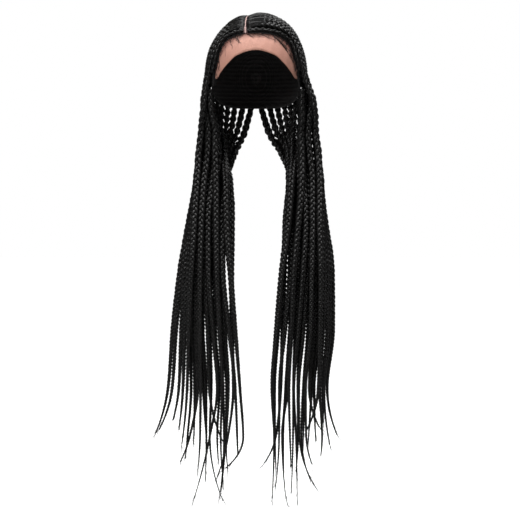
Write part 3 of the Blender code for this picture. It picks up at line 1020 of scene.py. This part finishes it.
@dataclass
class HangingPlaits:
    """Long plaits of one side, and the cornrows that some of them grow out of."""

    side: Side
    hair: bpy.types.Material
    style: PlaitStyle = PlaitStyle()
    loose: LooseHairs = LooseHairs()
    count: int = 22
    nape: int = 6
    lower: int = 7
    row_knots: int = 14
    least_nape_ridge: float = 0.5
    row_part_end: float = 0.95
    pitch_places: tuple[tuple[float, float], ...] = (
        # height, distance between the V shapes
        (-0.80, 0.0045), (-0.61, 0.0053), (-0.48, 0.0061), (-0.42, 0.0078),
        (-0.335, 0.0096), (-0.19, 0.0118), (-0.095, 0.0095),
    )
    padded: tuple[int, int] = (8, 13)
    padding: tuple[tuple[float, float], ...] = (
        # height, growth of the plaits that fill the right bunch by the neck
        (-0.26, 1.0), (-0.21, 1.3), (-0.155, 1.3), (-0.118, 1.0),
    )
    row_pitch: float = 0.0085
    combed_pitch: float = 0.018
    growth: float = 0.14
    start_width: float = 0.80
    start_depth: float = 0.55
    ease: float = 0.5
    turn_start: float = -0.088
    turn_end: float = -0.165
    nape_turn_start: float = -0.15
    nape_turn_end: float = -0.28
    most_turned: float = 28.0
    corner_share: float = math.cos(math.pi / 6.0)

    def sections(self, node: str) -> np.ndarray:
        """Sections of a packed braid.

        Args:
            node: Name of its node.

        Returns:
            x, y, z, half width and half depth of each section, top first.
        """
        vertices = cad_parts[node].data.vertices
        points = np.zeros(len(vertices) * 3)
        vertices.foreach_get("co", points)
        points = points.reshape(-1, 3)
        heights = np.round(points[:, 2], 5)
        rows = []
        for height in sorted(set(heights), reverse=True):
            level = points[heights == height]
            low, high = level.min(axis=0), level.max(axis=0)
            middle = 0.5 * (low + high)
            half_width = 0.5 * (high[0] - low[0]) / self.corner_share
            rows.append((middle[0], middle[1], height, half_width, 0.5 * (high[1] - low[1])))
        return np.array(rows)

    def hanging_route(self, node: str, start_turn: float | None, rng: np.random.Generator) -> Route:
        """Route of a plait below the rows.

        Args:
            node: Packed braid that it follows.
            start_turn: Azimuth that its upper end faces, or None to take it from its place.
            rng: Source of the turn of its lower part.

        Returns:
            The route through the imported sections.
        """
        rows = self.sections(node)
        first, last = self.padded
        if self.side is Side.RIGHT and first <= int(node[-2:]) <= last:
            rows[:, 3:] *= np.interp(rows[:, 2], *zip(*self.padding))[:, None]
        places, pitches = zip(*self.pitch_places)
        if start_turn is None:
            start_turn = math.degrees(math.atan2(rows[0, 0], -rows[0, 1]))
        final = rng.uniform(-self.most_turned, self.most_turned)
        begin, end = self.turn_start, self.turn_end
        if int(node[-2:]) <= self.nape:
            begin, end = self.nape_turn_start, self.nape_turn_end
        share = smooth_step((rows[:, 2] - begin) / (end - begin))
        turn = np.radians(start_turn * (1.0 - share) + final * share)
        facing = np.stack([np.sin(turn), -np.cos(turn), np.zeros(len(turn))], axis=1)
        pitch = np.interp(rows[:, 2], places, pitches)
        return Route(rows[:, :3], facing, rows[:, 3], rows[:, 4], pitch)

    def row_route(self, number: int) -> tuple[Route, float]:
        """Route of the cornrow above a plait.

        Args:
            number: Number of the plait.

        Returns:
            The route, and the azimuth that its lower end faces.
        """
        rows_across = CAP.back_rows if number <= self.nape else CAP.side_rows
        row = self.row_of(number)
        start = CAP.back_start if number <= self.nape else CAP.row_start
        share = np.linspace(start, self.row_part_end, self.row_knots)
        trail = CAP.back_row if number <= self.nape else self.side_trail
        middle = (row + 0.5) / rows_across
        ridge = CAP.ridge + (CAP.ridge_at_end - CAP.ridge) * share ** 2
        if number <= self.nape:
            ridge = ridge * np.minimum(1.0, self.least_nape_ridge + share)
        grown = smooth_step((share - start) / self.growth)
        half_depth = 0.5 * ridge * (self.start_depth + (1.0 - self.start_depth) * grown)
        if number > self.nape:
            half_depth = half_depth + 0.5 * CAP.swell(self.side, share)
        lift = CAP.wall + CAP.skin_gap + half_depth
        points = CAP.head.skin(trail(middle, share), lift)
        before = CAP.head.skin(trail(row / rows_across, share), lift)
        after = CAP.head.skin(trail((row + 1.0) / rows_across, share), lift)
        half_width = 0.5 * np.linalg.norm(after - before, axis=1)
        facing = CAP.head.outward(points)
        last = facing[-1]
        route = Route(
            points, facing, half_width * (self.start_width + (1.0 - self.start_width) * grown),
            half_depth,
            self.combed_pitch + (self.row_pitch - self.combed_pitch) * grown,
        )
        return route, math.degrees(math.atan2(last[0], -last[1]))

    def side_trail(self, across: float, along: np.ndarray) -> np.ndarray:
        """Directions on the rows of this side."""
        return CAP.side_row(self.side, across, along)

    def row_of(self, number: int) -> int:
        """Number of the cornrow above a plait; the rows feed the inner and outer file in turn.

        Args:
            number: Number of the plait.

        Returns:
            Number of the row, from the seam or the hairline.
        """
        if number <= self.nape:
            row = number - 1
            return row if self.side is Side.LEFT else CAP.back_rows - 1 - row
        inner = CAP.side_rows // 2
        place = number - self.nape - self.lower - 1
        return 2 * place + 1 if place < inner else 2 * (place - inner)

    def build(self, side_rows: MeshParts, back_rows: MeshParts, ends: FineHairs) -> None:
        """Build all plaits of the side.

        Args:
            side_rows: Mesh that takes the cornrows of this side.
            back_rows: Mesh that takes the cornrows of the back.
            ends: Mesh that takes the loose hairs.
        """
        for number in range(1, self.count + 1):
            name = f"{self.side.word}_{number:02d}"
            node = "braid_" + name
            rng = np.random.default_rng([number, self.side.value + 2])
            if self.nape < number <= self.nape + self.lower:
                route = self.hanging_route(node, None, rng)
                strands = self.style.strands(route, rng)
            else:
                above, turn = self.row_route(number)
                below = self.hanging_route(node, turn, rng)
                route = self.joined(above, below)
                strands = self.style.strands(route, rng)
                cut = route.runs()[len(above.points)]
                row_part, strands = strands.split(cut)
                row_part.add_to(back_rows if number <= self.nape else side_rows)
            parts = MeshParts(STRAND_MAP)
            strands.add_to(parts)
            self.loose.add_to(ends, strands, rng)
            settle_piece(parts.build("plait_" + name, self.hair), Slot.HAIR, node)

    def joined(self, above: Route, below: Route) -> Route:
        """One route from a cornrow and the plait below it, eased where they meet.

        Args:
            above: Route of the cornrow.
            below: Route of the plait.

        Returns:
            The whole route.
        """
        points = np.concatenate([above.points, below.points])
        joint = len(above.points)
        around = points.copy()
        for index in (joint - 1, joint, joint + 1):
            before, after = points[index - 1], points[index + 1]
            share = np.linalg.norm(points[index] - before)
            share = share / (share + np.linalg.norm(after - points[index]))
            around[index] += self.ease * (before + (after - before) * share - points[index])
        return Route(
            around,
            np.concatenate([above.facing, below.facing]),
            np.concatenate([above.half_width, below.half_width]),
            np.concatenate([above.half_depth, below.half_depth]),
            np.concatenate([above.pitch, below.pitch]),
        )


@dataclass
class HairlinePlait:
    """Small plait that finishes the cap's edge along the hairline of one side."""

    side: Side
    hair: bpy.types.Material
    inset: float = 0.0036
    half_width: float = 0.0037
    half_depth: float = 0.0029
    start: float = 0.02
    end: float = 0.86
    pitch: float = 0.0105
    seed: int = 7
    knots: int = 24
    seat: float = 0.9
    least_size: float = 0.5
    taper: float = 0.06
    style: PlaitStyle = PlaitStyle(swing=0.56, bulge=0.62, strand_depth=0.48)

    def build(self) -> None:
        """Build the plait."""
        share = np.linspace(self.start, self.end, self.knots)
        lift = CAP.wall + CAP.skin_gap + self.seat * self.half_depth
        points = CAP.head.skin(CAP.above_hairline(self.side, share, self.inset), lift)
        ends = np.minimum(share - self.start, self.end - share) / (self.end - self.start)
        grown = self.least_size + (1.0 - self.least_size) * smooth_step(ends / self.taper)
        route = Route(
            points, CAP.head.outward(points), self.half_width * grown, self.half_depth * grown,
            np.full(self.knots, self.pitch),
        )
        parts = MeshParts(STRAND_MAP)
        rng = np.random.default_rng([self.seed, self.side.value + 2])
        self.style.strands(route, rng).add_to(parts)
        piece = parts.build("edge_plait_" + self.side.word, self.hair)
        settle_piece(piece, Slot.HAIR, "hairline_braid_" + self.side.word)


@dataclass
class BandedSheet:
    """Smooth sheet on the head, as a grid of directions and lifts, with a wall."""

    name: str
    columns: int
    rings: int
    wall: float
    merge_distance: float = 0.00002

    def build(
        self, place: Place, material: bpy.types.Material, closed: bool = False
    ) -> bpy.types.Object:
        """Make the sheet.

        Args:
            place: Gives the point for a share across and a share down, as arrays.
            material: Its finish.
            closed: Whether the last column meets the first.

        Returns:
            The object, its wall standing outwards.
        """
        bpy.ops.object.select_all(action="DESELECT")
        bpy.ops.mesh.primitive_grid_add(
            x_subdivisions=self.columns, y_subdivisions=self.rings, size=1.0
        )
        piece = bpy.context.object
        piece.name = self.name
        piece.data.name = self.name
        mesh = piece.data
        mesh.uv_layers.active.name = CLOTH_MAP
        flat = np.zeros(len(mesh.vertices) * 3)
        mesh.vertices.foreach_get("co", flat)
        flat = flat.reshape(-1, 3) + 0.5
        mesh.vertices.foreach_set("co", place(flat[:, 0], flat[:, 1]).ravel())
        mesh.update()
        bpy.ops.object.mode_set(mode="EDIT")
        bpy.ops.mesh.select_all(action="SELECT")
        if closed:
            bpy.ops.mesh.remove_doubles(threshold=self.merge_distance)
        bpy.ops.mesh.normals_make_consistent(inside=False)
        bpy.ops.object.mode_set(mode="OBJECT")
        middle = piece.data.polygons[len(piece.data.polygons) // 2]
        centre = np.array(middle.center)
        if float(np.array(middle.normal) @ CAP.head.outward(centre[None])[0]) < 0.0:
            bpy.ops.object.mode_set(mode="EDIT")
            bpy.ops.mesh.select_all(action="SELECT")
            bpy.ops.mesh.flip_normals()
            bpy.ops.object.mode_set(mode="OBJECT")
        wall = piece.modifiers.new("wall", "SOLIDIFY")
        wall.thickness = self.wall
        wall.offset = 1.0
        bpy.ops.object.modifier_apply(modifier="wall")
        piece.data.shade_smooth()
        piece.data.materials.append(material)
        return piece


@dataclass
class CapNet:
    """Net cap: the open dome that carries the rows, and its hem."""

    net: bpy.types.Material
    columns: int = 144
    rings: int = 40
    wall: float = 0.0013
    inner_lift: float = 0.0002
    hem_width: float = 0.005
    hem_wall: float = 0.0008
    hem_rings: int = 3
    hem_lift: float = -0.0006

    def dome(self, across: np.ndarray, down: np.ndarray) -> np.ndarray:
        """Points of the dome.

        Args:
            across: Shares of the way round the head.
            down: Shares of the way from the top to the edge.

        Returns:
            Points, one a row.
        """
        azimuth = FULL_TURN * across - HALF_TURN
        edge = CAP.read(CAP.edge, azimuth)
        direction = CAP.head.aim(azimuth, UPRIGHT + (edge - UPRIGHT) * down)
        return CAP.head.skin(direction, self.inner_lift)

    def hem(self, across: np.ndarray, down: np.ndarray) -> np.ndarray:
        """Points of the hem, which thickens the wall at the edge.

        Args:
            across: Shares of the way round the head.
            down: Shares of the way from the hem's upper side to the edge.

        Returns:
            Points, one a row.
        """
        azimuth = FULL_TURN * across - HALF_TURN
        edge = CAP.read(CAP.edge, azimuth)
        width = math.degrees(self.hem_width / CAP.head.half_height)
        direction = CAP.head.aim(azimuth, edge + width * (1.0 - down))
        return CAP.head.skin(direction, self.hem_lift)

    def build(self) -> None:
        """Build the dome and the hem along its edge."""
        shell = BandedSheet("cap_net", self.columns, self.rings, self.wall)
        settle_piece(shell.build(self.dome, self.net, closed=True), Slot.CAP, "wig_cap")
        band = BandedSheet("cap_hem", self.columns, self.hem_rings, self.hem_wall)
        settle_piece(band.build(self.hem, self.net, closed=True), Slot.CAP)


@dataclass(frozen=True)
class Crease:
    """Folded ridge of the lace on the right, from the hairline to the temple.

    Its fades and its overrun are shares of the way between its ends.
    """

    start: Aim = (24.0, 40.5)
    end: Aim = (55.0, 1.0)
    height: float = 0.0022
    width: float = 0.0016
    fade_in: float = 0.15
    fade_out: float = 0.3
    overrun: float = 1.1

    def line(self) -> tuple[np.ndarray, np.ndarray, np.ndarray]:
        """Line of the ridge.

        Returns:
            Directions of both ends, and the direction square to the way between them.
        """
        start = CAP.head.aim(*self.start)
        end = CAP.head.aim(*self.end)
        return start, end, unit(np.cross(start, end))

    def lift(self, direction: np.ndarray) -> np.ndarray:
        """Height of the ridge over the smooth lace.

        Args:
            direction: Unit directions from the head's centre, one a row.

        Returns:
            Height in each of them.
        """
        start, end, square = self.line()
        away = (direction @ square) * CAP.head.half_height
        run = np.arctan2(direction @ unit(np.cross(square, start)), direction @ start)
        whole = math.acos(float(start @ end))
        risen = smooth_step(run / (self.fade_in * whole))
        fade = risen * smooth_step((self.overrun * whole - run) / (self.fade_out * whole))
        return self.height * fade * np.exp(-((away / self.width) ** 2))


@dataclass
class LaceFront:
    """Lace band on the forehead, stretched by the cap's edge, with a crease on the right.

    The seam's overlap and the teeth of the cut edge are in degrees on the head.
    """

    lace: bpy.types.Material
    crease: Crease = Crease()
    columns: int = 220
    rings: int = 40
    wall: float = 0.0004
    inner_lift: float = 0.0003
    seam_overlap: float = 1.2
    teeth: float = 90.0
    tooth_depth: float = 0.35
    ripple_height: float = 0.00025
    ripple_across: float = 61.0
    ripple_down: float = 7.0
    ripple_slant: float = 13.0
    flat_size: tuple[float, float] = (0.19, 0.075)

    def band(self, across: np.ndarray, down: np.ndarray) -> np.ndarray:
        """Points of the band.

        Args:
            across: Shares of the way from the left temple to the right one.
            down: Shares of the way from under the hair to the cut edge.

        Returns:
            Points, one a row.
        """
        azimuth = CAP.lace_end_azimuth * (2.0 * across - 1.0)
        seam = CAP.read(CAP.edge, azimuth) + self.seam_overlap
        front = CAP.read(CAP.lace_edge, azimuth)
        at_cut = down > 1.0 - 0.5 / self.rings
        ragged = self.tooth_depth * np.abs(((across * self.teeth) % 1.0) - 0.5) * at_cut
        direction = CAP.head.aim(azimuth, seam + (front - seam) * down - ragged)
        slant = np.sin(down * self.ripple_down + across * self.ripple_slant)
        ripple = self.ripple_height * np.sin(across * self.ripple_across) * slant
        return CAP.head.skin(direction, self.inner_lift + ripple + self.crease.lift(direction))

    def build(self) -> None:
        """Build the lace."""
        sheet = BandedSheet("lace_net_front", self.columns, self.rings, self.wall)
        piece = sheet.build(self.band, self.lace)
        settle_piece(piece, Slot.LACE, "lace_front")


@dataclass
class BabyHairs:
    """Fine wisps, curls and strays that lie on the lace in front of the hairline.

    Places are shares of the hairline. Tucks, falls, drifts, sweeps, curl sizes and spreads are in
    degrees on the head; turns are in radians. The starts and lengths of the crease's hairs are
    shares of the crease.
    """

    hair: bpy.types.Material
    crease: Crease = Crease()
    seed: int = 11
    lift: float = 0.0011
    wisps: int = 260
    wisp_points: int = 8
    wisp_tuck: float = 0.6
    wisp_place: Range = (0.02, 0.93)
    wisp_fall: Range = (2.0, 8.0)
    wisp_drift: Range = (-1.0, 7.0)
    wisp_curl: Range = (-2.0, 2.0)
    wisp_turns: tuple[float, float] = (3.0, 4.0)
    wisp_curl_down: float = 0.4
    wisp_rise: float = 0.0008
    wisp_radius: Range = (0.00010, 0.00022)
    curls: int = 16
    curl_points: int = 12
    curl_tuck: float = 0.5
    curl_place: Range = (0.30, 0.88)
    curl_fall: Range = (6.0, 14.0)
    curl_fall_power: float = 0.8
    curl_sweep: Range = (1.0, 5.0)
    curl_size: Range = (0.8, 2.2)
    curl_turns: Range = (2.5, 5.5)
    curl_hairs: tuple[int, int] = (6, 12)
    curl_spread: float = 0.22
    curl_rise: float = 0.0006
    curl_radius: Range = (0.00022, 0.00042)
    crease_hairs: int = 46
    crease_points: int = 9
    crease_start: Range = (0.0, 0.5)
    crease_length: Range = (0.25, 0.5)
    crease_foot: Range = (0.4, 2.2)
    crease_bow: float = 0.008
    crease_lift: float = 0.0009
    crease_radius: Range = (0.00012, 0.00024)
    strays: tuple[tuple[float, float, float, float, float], ...] = (
        # azimuth and elevation of both ends, bow between them in degrees
        (2.0, 41.5, 25.0, 32.0, 1.3), (-30.0, 38.5, -20.5, 29.0, 1.8),
        (-24.0, 40.0, -16.0, 31.5, -1.4), (-35.0, 35.5, -27.5, 25.0, 1.6),
        (-38.0, 31.0, -34.0, 19.0, -1.0), (-12.0, 41.0, -3.0, 36.0, 1.0),
    )
    stray_hairs: int = 4
    stray_points: int = 14
    stray_wave: float = 0.35
    stray_spread: float = 0.3
    stray_radius: Range = (0.00020, 0.00032)

    def build(self) -> None:
        """Build all the fine hairs on the lace."""
        rng = np.random.default_rng(self.seed)
        hairs = FineHairs()
        for side in Side:
            for _ in range(self.wisps):
                self.add_wisp(hairs, side, rng)
            for _ in range(self.curls):
                self.add_curl(hairs, side, rng)
        self.add_crease_hairs(hairs, rng)
        self.add_strays(hairs, rng)
        settle_piece(hairs.parts.build("baby_hairs", self.hair), Slot.HAIR)

    def root(self, side: Side, share: float) -> Aim:
        """Azimuth and elevation of a place on the hairline."""
        place = CAP.hairline(side, np.array([share]))[0]
        return math.degrees(math.atan2(place[0], -place[1])), math.degrees(math.asin(place[2]))

    def add_wisp(self, hairs: FineHairs, side: Side, rng: np.random.Generator) -> None:
        """Add a short hair that grows out of the hairline.

        Args:
            hairs: Mesh that takes it.
            side: Side of the wig.
            rng: Source of its place and shape.
        """
        azimuth, elevation = self.root(side, rng.uniform(*self.wisp_place))
        steps = np.linspace(0.0, 1.0, self.wisp_points)
        fall = rng.uniform(*self.wisp_fall)
        drift = side.value * rng.uniform(*self.wisp_drift)
        curl = rng.uniform(*self.wisp_curl)
        turn_across, turn_down = self.wisp_turns
        path = CAP.head.aim(
            azimuth + drift * steps + curl * np.sin(steps * turn_across),
            elevation + self.wisp_tuck - fall * steps
            + self.wisp_curl_down * curl * np.sin(steps * turn_down),
        )
        lift = self.lift + self.wisp_rise * steps + self.crease.lift(path)
        hairs.add(CAP.head.skin(path, lift), rng.uniform(*self.wisp_radius))

    def add_curl(self, hairs: FineHairs, side: Side, rng: np.random.Generator) -> None:
        """Add a small lock that curls on the lace.

        Args:
            hairs: Mesh that takes its hairs.
            side: Side of the wig.
            rng: Source of its place and shape.
        """
        azimuth, elevation = self.root(side, rng.uniform(*self.curl_place))
        steps = np.linspace(0.0, 1.0, self.curl_points)
        fall = rng.uniform(*self.curl_fall)
        sweep = -side.value * rng.uniform(*self.curl_sweep)
        size = rng.uniform(*self.curl_size)
        turns = rng.uniform(*self.curl_turns)
        for _ in range(int(rng.integers(*self.curl_hairs))):
            near = rng.normal(0.0, self.curl_spread, 2)
            path = CAP.head.aim(
                azimuth + near[0] + sweep * steps + side.value * size * np.sin(turns * steps),
                elevation + self.curl_tuck + near[1] * steps
                - fall * steps ** self.curl_fall_power + size * (1.0 - np.cos(turns * steps)),
            )
            lift = self.lift + self.curl_rise * steps + self.crease.lift(path)
            hairs.add(CAP.head.skin(path, lift), rng.uniform(*self.curl_radius))

    def add_crease_hairs(self, hairs: FineHairs, rng: np.random.Generator) -> None:
        """Add the fine hairs that lie along the crease.

        Args:
            hairs: Mesh that takes them.
            rng: Source of their places and lengths.
        """
        start, end, square = self.crease.line()
        ends = [np.broadcast_to(place, (self.crease_points, 3)) for place in (start, end)]
        for _ in range(self.crease_hairs):
            first = rng.uniform(*self.crease_start)
            last = first + rng.uniform(*self.crease_length)
            share = np.linspace(first, last, self.crease_points)
            foot = -rng.uniform(*self.crease_foot) * self.crease.width / CAP.head.half_height
            bow = rng.normal(0.0, self.crease_bow) * np.sin(math.pi * share)[:, None]
            path = unit(great_arc(*ends, share) + square * (foot + bow))
            lift = self.crease_lift + self.crease.lift(path)
            hairs.add(CAP.head.skin(path, lift), rng.uniform(*self.crease_radius))

    def add_strays(self, hairs: FineHairs, rng: np.random.Generator) -> None:
        """Add the longer strands that lie loose on the lace.

        Args:
            hairs: Mesh that takes them.
            rng: Source of their small differences.
        """
        steps = np.linspace(0.0, 1.0, self.stray_points)
        bend = np.sin(math.pi * steps) + self.stray_wave * np.sin(3.0 * math.pi * steps)
        for azimuth, elevation, end_azimuth, end_elevation, bow in self.strays:
            for _ in range(self.stray_hairs):
                near = rng.normal(0.0, self.stray_spread, 2)
                path = CAP.head.aim(
                    azimuth + (end_azimuth - azimuth) * steps + (bow + near[0]) * bend,
                    elevation + (end_elevation - elevation) * steps + (bow + near[1]) * bend,
                )
                lift = self.lift + self.crease.lift(path)
                hairs.add(CAP.head.skin(path, lift), rng.uniform(*self.stray_radius))


@dataclass
class Parting:
    """Strip of base that shows along the parting, and the hair combed away from it.

    Roots start at the edge or further inward, both in half widths of the strip; the higher the
    power, the fewer start near its middle. The starts and ends of combed hairs and locks are
    shares of the way down the rows, and their fullness is a share of the rows' height.
    """

    base: bpy.types.Material
    hair: bpy.types.Material
    half_width: float = 0.0033
    wall: float = 0.0034
    crest: float = 0.0003
    columns: int = 60
    rings: int = 6
    front_reach: float = 0.035
    front_drop: float = 0.0030
    drop_end: float = 0.07
    seed: int = 5
    roots: int = 2400
    root_points: int = 4
    root_edge: float = 1.1
    root_inward: float = 0.75
    root_power: int = 4
    root_reach: Range = (0.0022, 0.0060)
    root_slant: float = 0.0006
    root_rise: Range = (0.0004, 0.0014)
    root_arch: float = 1.5
    root_sink: float = 0.0002
    root_radius: Range = (0.00018, 0.00034)
    combed_hairs: int = 900
    combed_points: int = 8
    combed_start: float = 0.004
    combed_end: Range = (0.10, 0.24)
    combed_spread: float = 0.006
    combed_fullness: Range = (0.60, 0.94)
    combed_rise: Range = (-0.0003, 0.0003)
    combed_radius: Range = (0.00014, 0.00026)
    locks: int = 190
    lock_points: int = 9
    lock_shift: Range = (-0.7, 0.7)
    lock_start: Range = (0.014, 0.030)
    lock_end: Range = (0.15, 0.30)
    lock_fullness: Range = (0.66, 1.0)
    lock_rise: Range = (0.0001, 0.0006)
    lock_radius: Range = (0.0005, 0.0009)
    risen_at: float = 0.12

    def strip(self, along: np.ndarray, across: np.ndarray) -> np.ndarray:
        """Points of the strip, which dips to the lace at its front end.

        Args:
            along: Shares of the way from the hairline to the crown.
            across: Shares of the way across the strip.

        Returns:
            Points, one a row.
        """
        front, crown = CAP.front(), CAP.crown()
        square = unit(np.cross(front, crown))
        share = along - self.front_reach * (1.0 - along)
        middle = great_arc(front, crown, share)
        swing = (2.0 * across - 1.0) * self.half_width / CAP.head.half_height
        crest = self.crest * (1.0 - (2.0 * across - 1.0) ** 2)
        drop = self.front_drop * (1.0 - smooth_step((share + self.front_reach) / self.drop_end))
        base = CAP.wall + CAP.skin_gap + crest - drop
        return CAP.head.skin(unit(middle + square * swing[:, None]), base)

    def build(self) -> None:
        """Build the strip and the hair beside it."""
        sheet = BandedSheet("parting_strip", self.columns, self.rings, self.wall)
        settle_piece(sheet.build(self.strip, self.base), Slot.BASE, "part_strip")
        rng = np.random.default_rng(self.seed)
        hairs = FineHairs()
        for _ in range(self.roots):
            self.add_root(hairs, rng)
        for _ in range(self.combed_hairs):
            self.add_combed_hair(hairs, rng)
        for number in range(self.locks):
            self.add_lock(hairs, number, rng)
        settle_piece(hairs.parts.build("parting_roots", self.hair), Slot.HAIR)

    def add_root(self, hairs: FineHairs, rng: np.random.Generator) -> None:
        """Add a short hair that leaves the strip's edge; few start near its middle.

        Args:
            hairs: Mesh that takes it.
            rng: Source of its place and shape.
        """
        front, crown = CAP.front(), CAP.crown()
        square = unit(np.cross(front, crown))
        along = rng.uniform(0.0, 1.0)
        way = rng.choice((-1.0, 1.0))
        middle = great_arc(front, crown, np.array([along]))[0]
        steps = np.linspace(0.0, 1.0, self.root_points)
        reach = rng.uniform(*self.root_reach)
        inward = self.root_inward * rng.uniform() ** self.root_power
        run = self.half_width * (self.root_edge - inward) + reach * steps
        slant = rng.normal(0.0, self.root_slant) * steps
        heading = unit(crown - front)
        shift = square * way * run[:, None] + heading * slant[:, None]
        path = unit(middle + shift / CAP.head.half_height)
        rise = rng.uniform(*self.root_rise) * np.sin(steps * self.root_arch)
        lift = CAP.wall + CAP.skin_gap + self.wall + rise - self.root_sink
        hairs.add(CAP.head.skin(path, lift), rng.uniform(*self.root_radius))

    def height(self, side: Side, across: float, share: np.ndarray, fullness: Range) -> np.ndarray:
        """Height off the cap of hair combed from the strip over a row.

        Args:
            side: Side of the wig.
            across: Share from the hairline back to the seam of the back rows.
            share: Shares of the way down the rows.
            fullness: Share of the rows' height between two rows and on top of one.

        Returns:
            Height at each share.
        """
        crest = abs(math.sin(math.pi * CAP.side_rows * across))
        full = CAP.ridge * (fullness[0] + (fullness[1] - fullness[0]) * crest)
        gain = full + CAP.swell(side, share) - self.wall
        return self.wall + gain * smooth_step(share / self.risen_at)

    def add_combed_hair(self, hairs: FineHairs, rng: np.random.Generator) -> None:
        """Add a fine hair combed from the strip into a row.

        Args:
            hairs: Mesh that takes it.
            rng: Source of its place and length.
        """
        side = Side(int(rng.choice((-1, 1))))
        across = rng.uniform(0.0, 1.0)
        end = rng.uniform(*self.combed_end)
        share = np.linspace(self.combed_start, end, self.combed_points)
        path = CAP.side_row(side, across + rng.normal(0.0, self.combed_spread), share)
        height = self.height(side, across, share, self.combed_fullness)
        lift = CAP.wall + CAP.skin_gap + height + rng.uniform(*self.combed_rise)
        hairs.add(CAP.head.skin(path, lift), rng.uniform(*self.combed_radius))

    def add_lock(self, hairs: FineHairs, number: int, rng: np.random.Generator) -> None:
        """Add a thin lock combed from the strip into a row.

        Args:
            hairs: Mesh that takes it.
            number: Number of the lock, even on the right and odd on the left.
            rng: Source of its place and length.
        """
        side = Side.LEFT if number % 2 else Side.RIGHT
        across = (number + rng.uniform(*self.lock_shift)) / self.locks
        start, end = rng.uniform(*self.lock_start), rng.uniform(*self.lock_end)
        share = np.linspace(start, end, self.lock_points)
        path = CAP.side_row(side, across, share)
        height = self.height(side, across, share, self.lock_fullness)
        lift = CAP.wall + CAP.skin_gap + height + rng.uniform(*self.lock_rise)
        hairs.add(CAP.head.skin(path, lift), rng.uniform(*self.lock_radius))


@dataclass
class Studio:
    """Camera, floor and soft lights."""

    pale: bpy.types.Material
    photo_width: float = 0.864
    distance: float = 3.2
    sensor: float = 36.0
    centre: tuple[float, float, float] = (0.0066, -0.05, -0.402)
    camera_height: float = -0.22
    floor_size: float = 16.0
    floor_drop: float = 0.05
    ambient: float = 0.035
    lights: tuple[tuple[str, tuple[float, float, float], float, float], ...] = (
        # name, place, side, power in watts
        ("key", (-1.3, -2.0, 0.9), 1.0, 8.5),
        ("near", (-0.5, -1.2, 0.65), 0.6, 9.0),
        ("fill", (1.6, -1.7, 0.4), 1.2, 5.0),
        ("top", (0.0, -0.3, 1.6), 1.4, 62.0),
        ("rear", (0.3, 2.0, 0.8), 1.8, 18.0),
    )

    def build(self) -> None:
        """Set up the studio."""
        self.build_camera()
        self.build_floor()
        for name, place, size, power in self.lights:
            self.build_light(name, place, size, power)
        self.build_world()
        bpy.context.scene.view_settings.view_transform = "Standard"

    def aimed(self, name: str, data: bpy.types.ID, place: Vector) -> bpy.types.Object:
        """Put a camera or lamp in the scene, aimed at the wig.

        Args:
            name: Name of the object.
            data: The camera or lamp.
            place: Where it stands.

        Returns:
            The object.
        """
        holder = bpy.data.objects.new(name, data)
        holder.location = place
        holder.rotation_euler = (Vector(self.centre) - place).to_track_quat("-Z", "Y").to_euler()
        bpy.context.scene.collection.objects.link(holder)
        return holder

    def build_camera(self) -> None:
        """Camera that sees the wig at the photo's scale."""
        camera = bpy.data.cameras.new("camera")
        camera.sensor_width = self.sensor
        camera.lens = self.sensor * self.distance / self.photo_width
        place = Vector((self.centre[0], self.centre[1] - self.distance, self.camera_height))
        bpy.context.scene.camera = self.aimed("camera", camera, place)

    def build_floor(self) -> None:
        """Plain floor a little below the longest plait."""
        bpy.ops.object.select_all(action="DESELECT")
        height = CAD_BOX[0].z - self.floor_drop
        bpy.ops.mesh.primitive_plane_add(size=self.floor_size, location=(0.0, 0.0, height))
        floor = bpy.context.object
        floor.name = "studio_floor"
        bpy.ops.object.transform_apply(location=True, rotation=True, scale=True)
        floor.data.materials.append(self.pale)

    def build_light(
        self, name: str, place: tuple[float, float, float], size: float, power: float
    ) -> None:
        """Add a soft square light that points at the wig.

        Args:
            name: Name of the light.
            place: Where it stands.
            size: Its side.
            power: Its power in watts.
        """
        lamp = bpy.data.lights.new(name, "AREA")
        lamp.size = size
        lamp.energy = power
        self.aimed(name, lamp, Vector(place))

    def build_world(self) -> None:
        """White backdrop to the camera, and dim light from all round to the wig."""
        world = bpy.data.worlds.new("studio")
        world.use_nodes = True
        tree = world.node_tree
        sky = tree.nodes["Background"]
        sky.inputs["Color"].default_value = (1.0, 1.0, 1.0, 1.0)
        seen = tree.nodes.new("ShaderNodeLightPath").outputs["Is Camera Ray"]
        strength = tree.nodes.new("ShaderNodeMapRange")
        strength.inputs["To Min"].default_value = self.ambient
        strength.inputs["To Max"].default_value = 1.0
        tree.links.new(seen, strength.inputs["Value"])
        tree.links.new(strength.outputs["Result"], sky.inputs["Strength"])
        bpy.context.scene.world = world


def main() -> None:
    """Build the wig's looks in order, then the studio."""
    logging.basicConfig(level=logging.INFO, format="%(message)s")
    hair = HairFinish().make()
    net = NetFinish().make()
    lace = LaceFinish().make()
    base = PartingFinish().make()

    CapNet(net).build()
    LaceFront(lace).build()
    BabyHairs(hair).build()
    Parting(base, hair).build()
    back_rows = MeshParts(STRAND_MAP)
    for side in Side:
        HairlinePlait(side, hair).build()
        side_rows = MeshParts(STRAND_MAP)
        ends = FineHairs()
        HangingPlaits(side, hair).build(side_rows, back_rows, ends)
        rows = side_rows.build("side_rows_" + side.word, hair)
        settle_piece(rows, Slot.HAIR, "cornrows_" + side.word)
        settle_piece(ends.parts.build("loose_hairs_" + side.word, hair), Slot.HAIR)
    settle_piece(back_rows.build("back_rows", hair), Slot.HAIR, "cornrows_back")
    Studio(StudioFinish().make()).build()


if __name__ == "__main__":
    main()
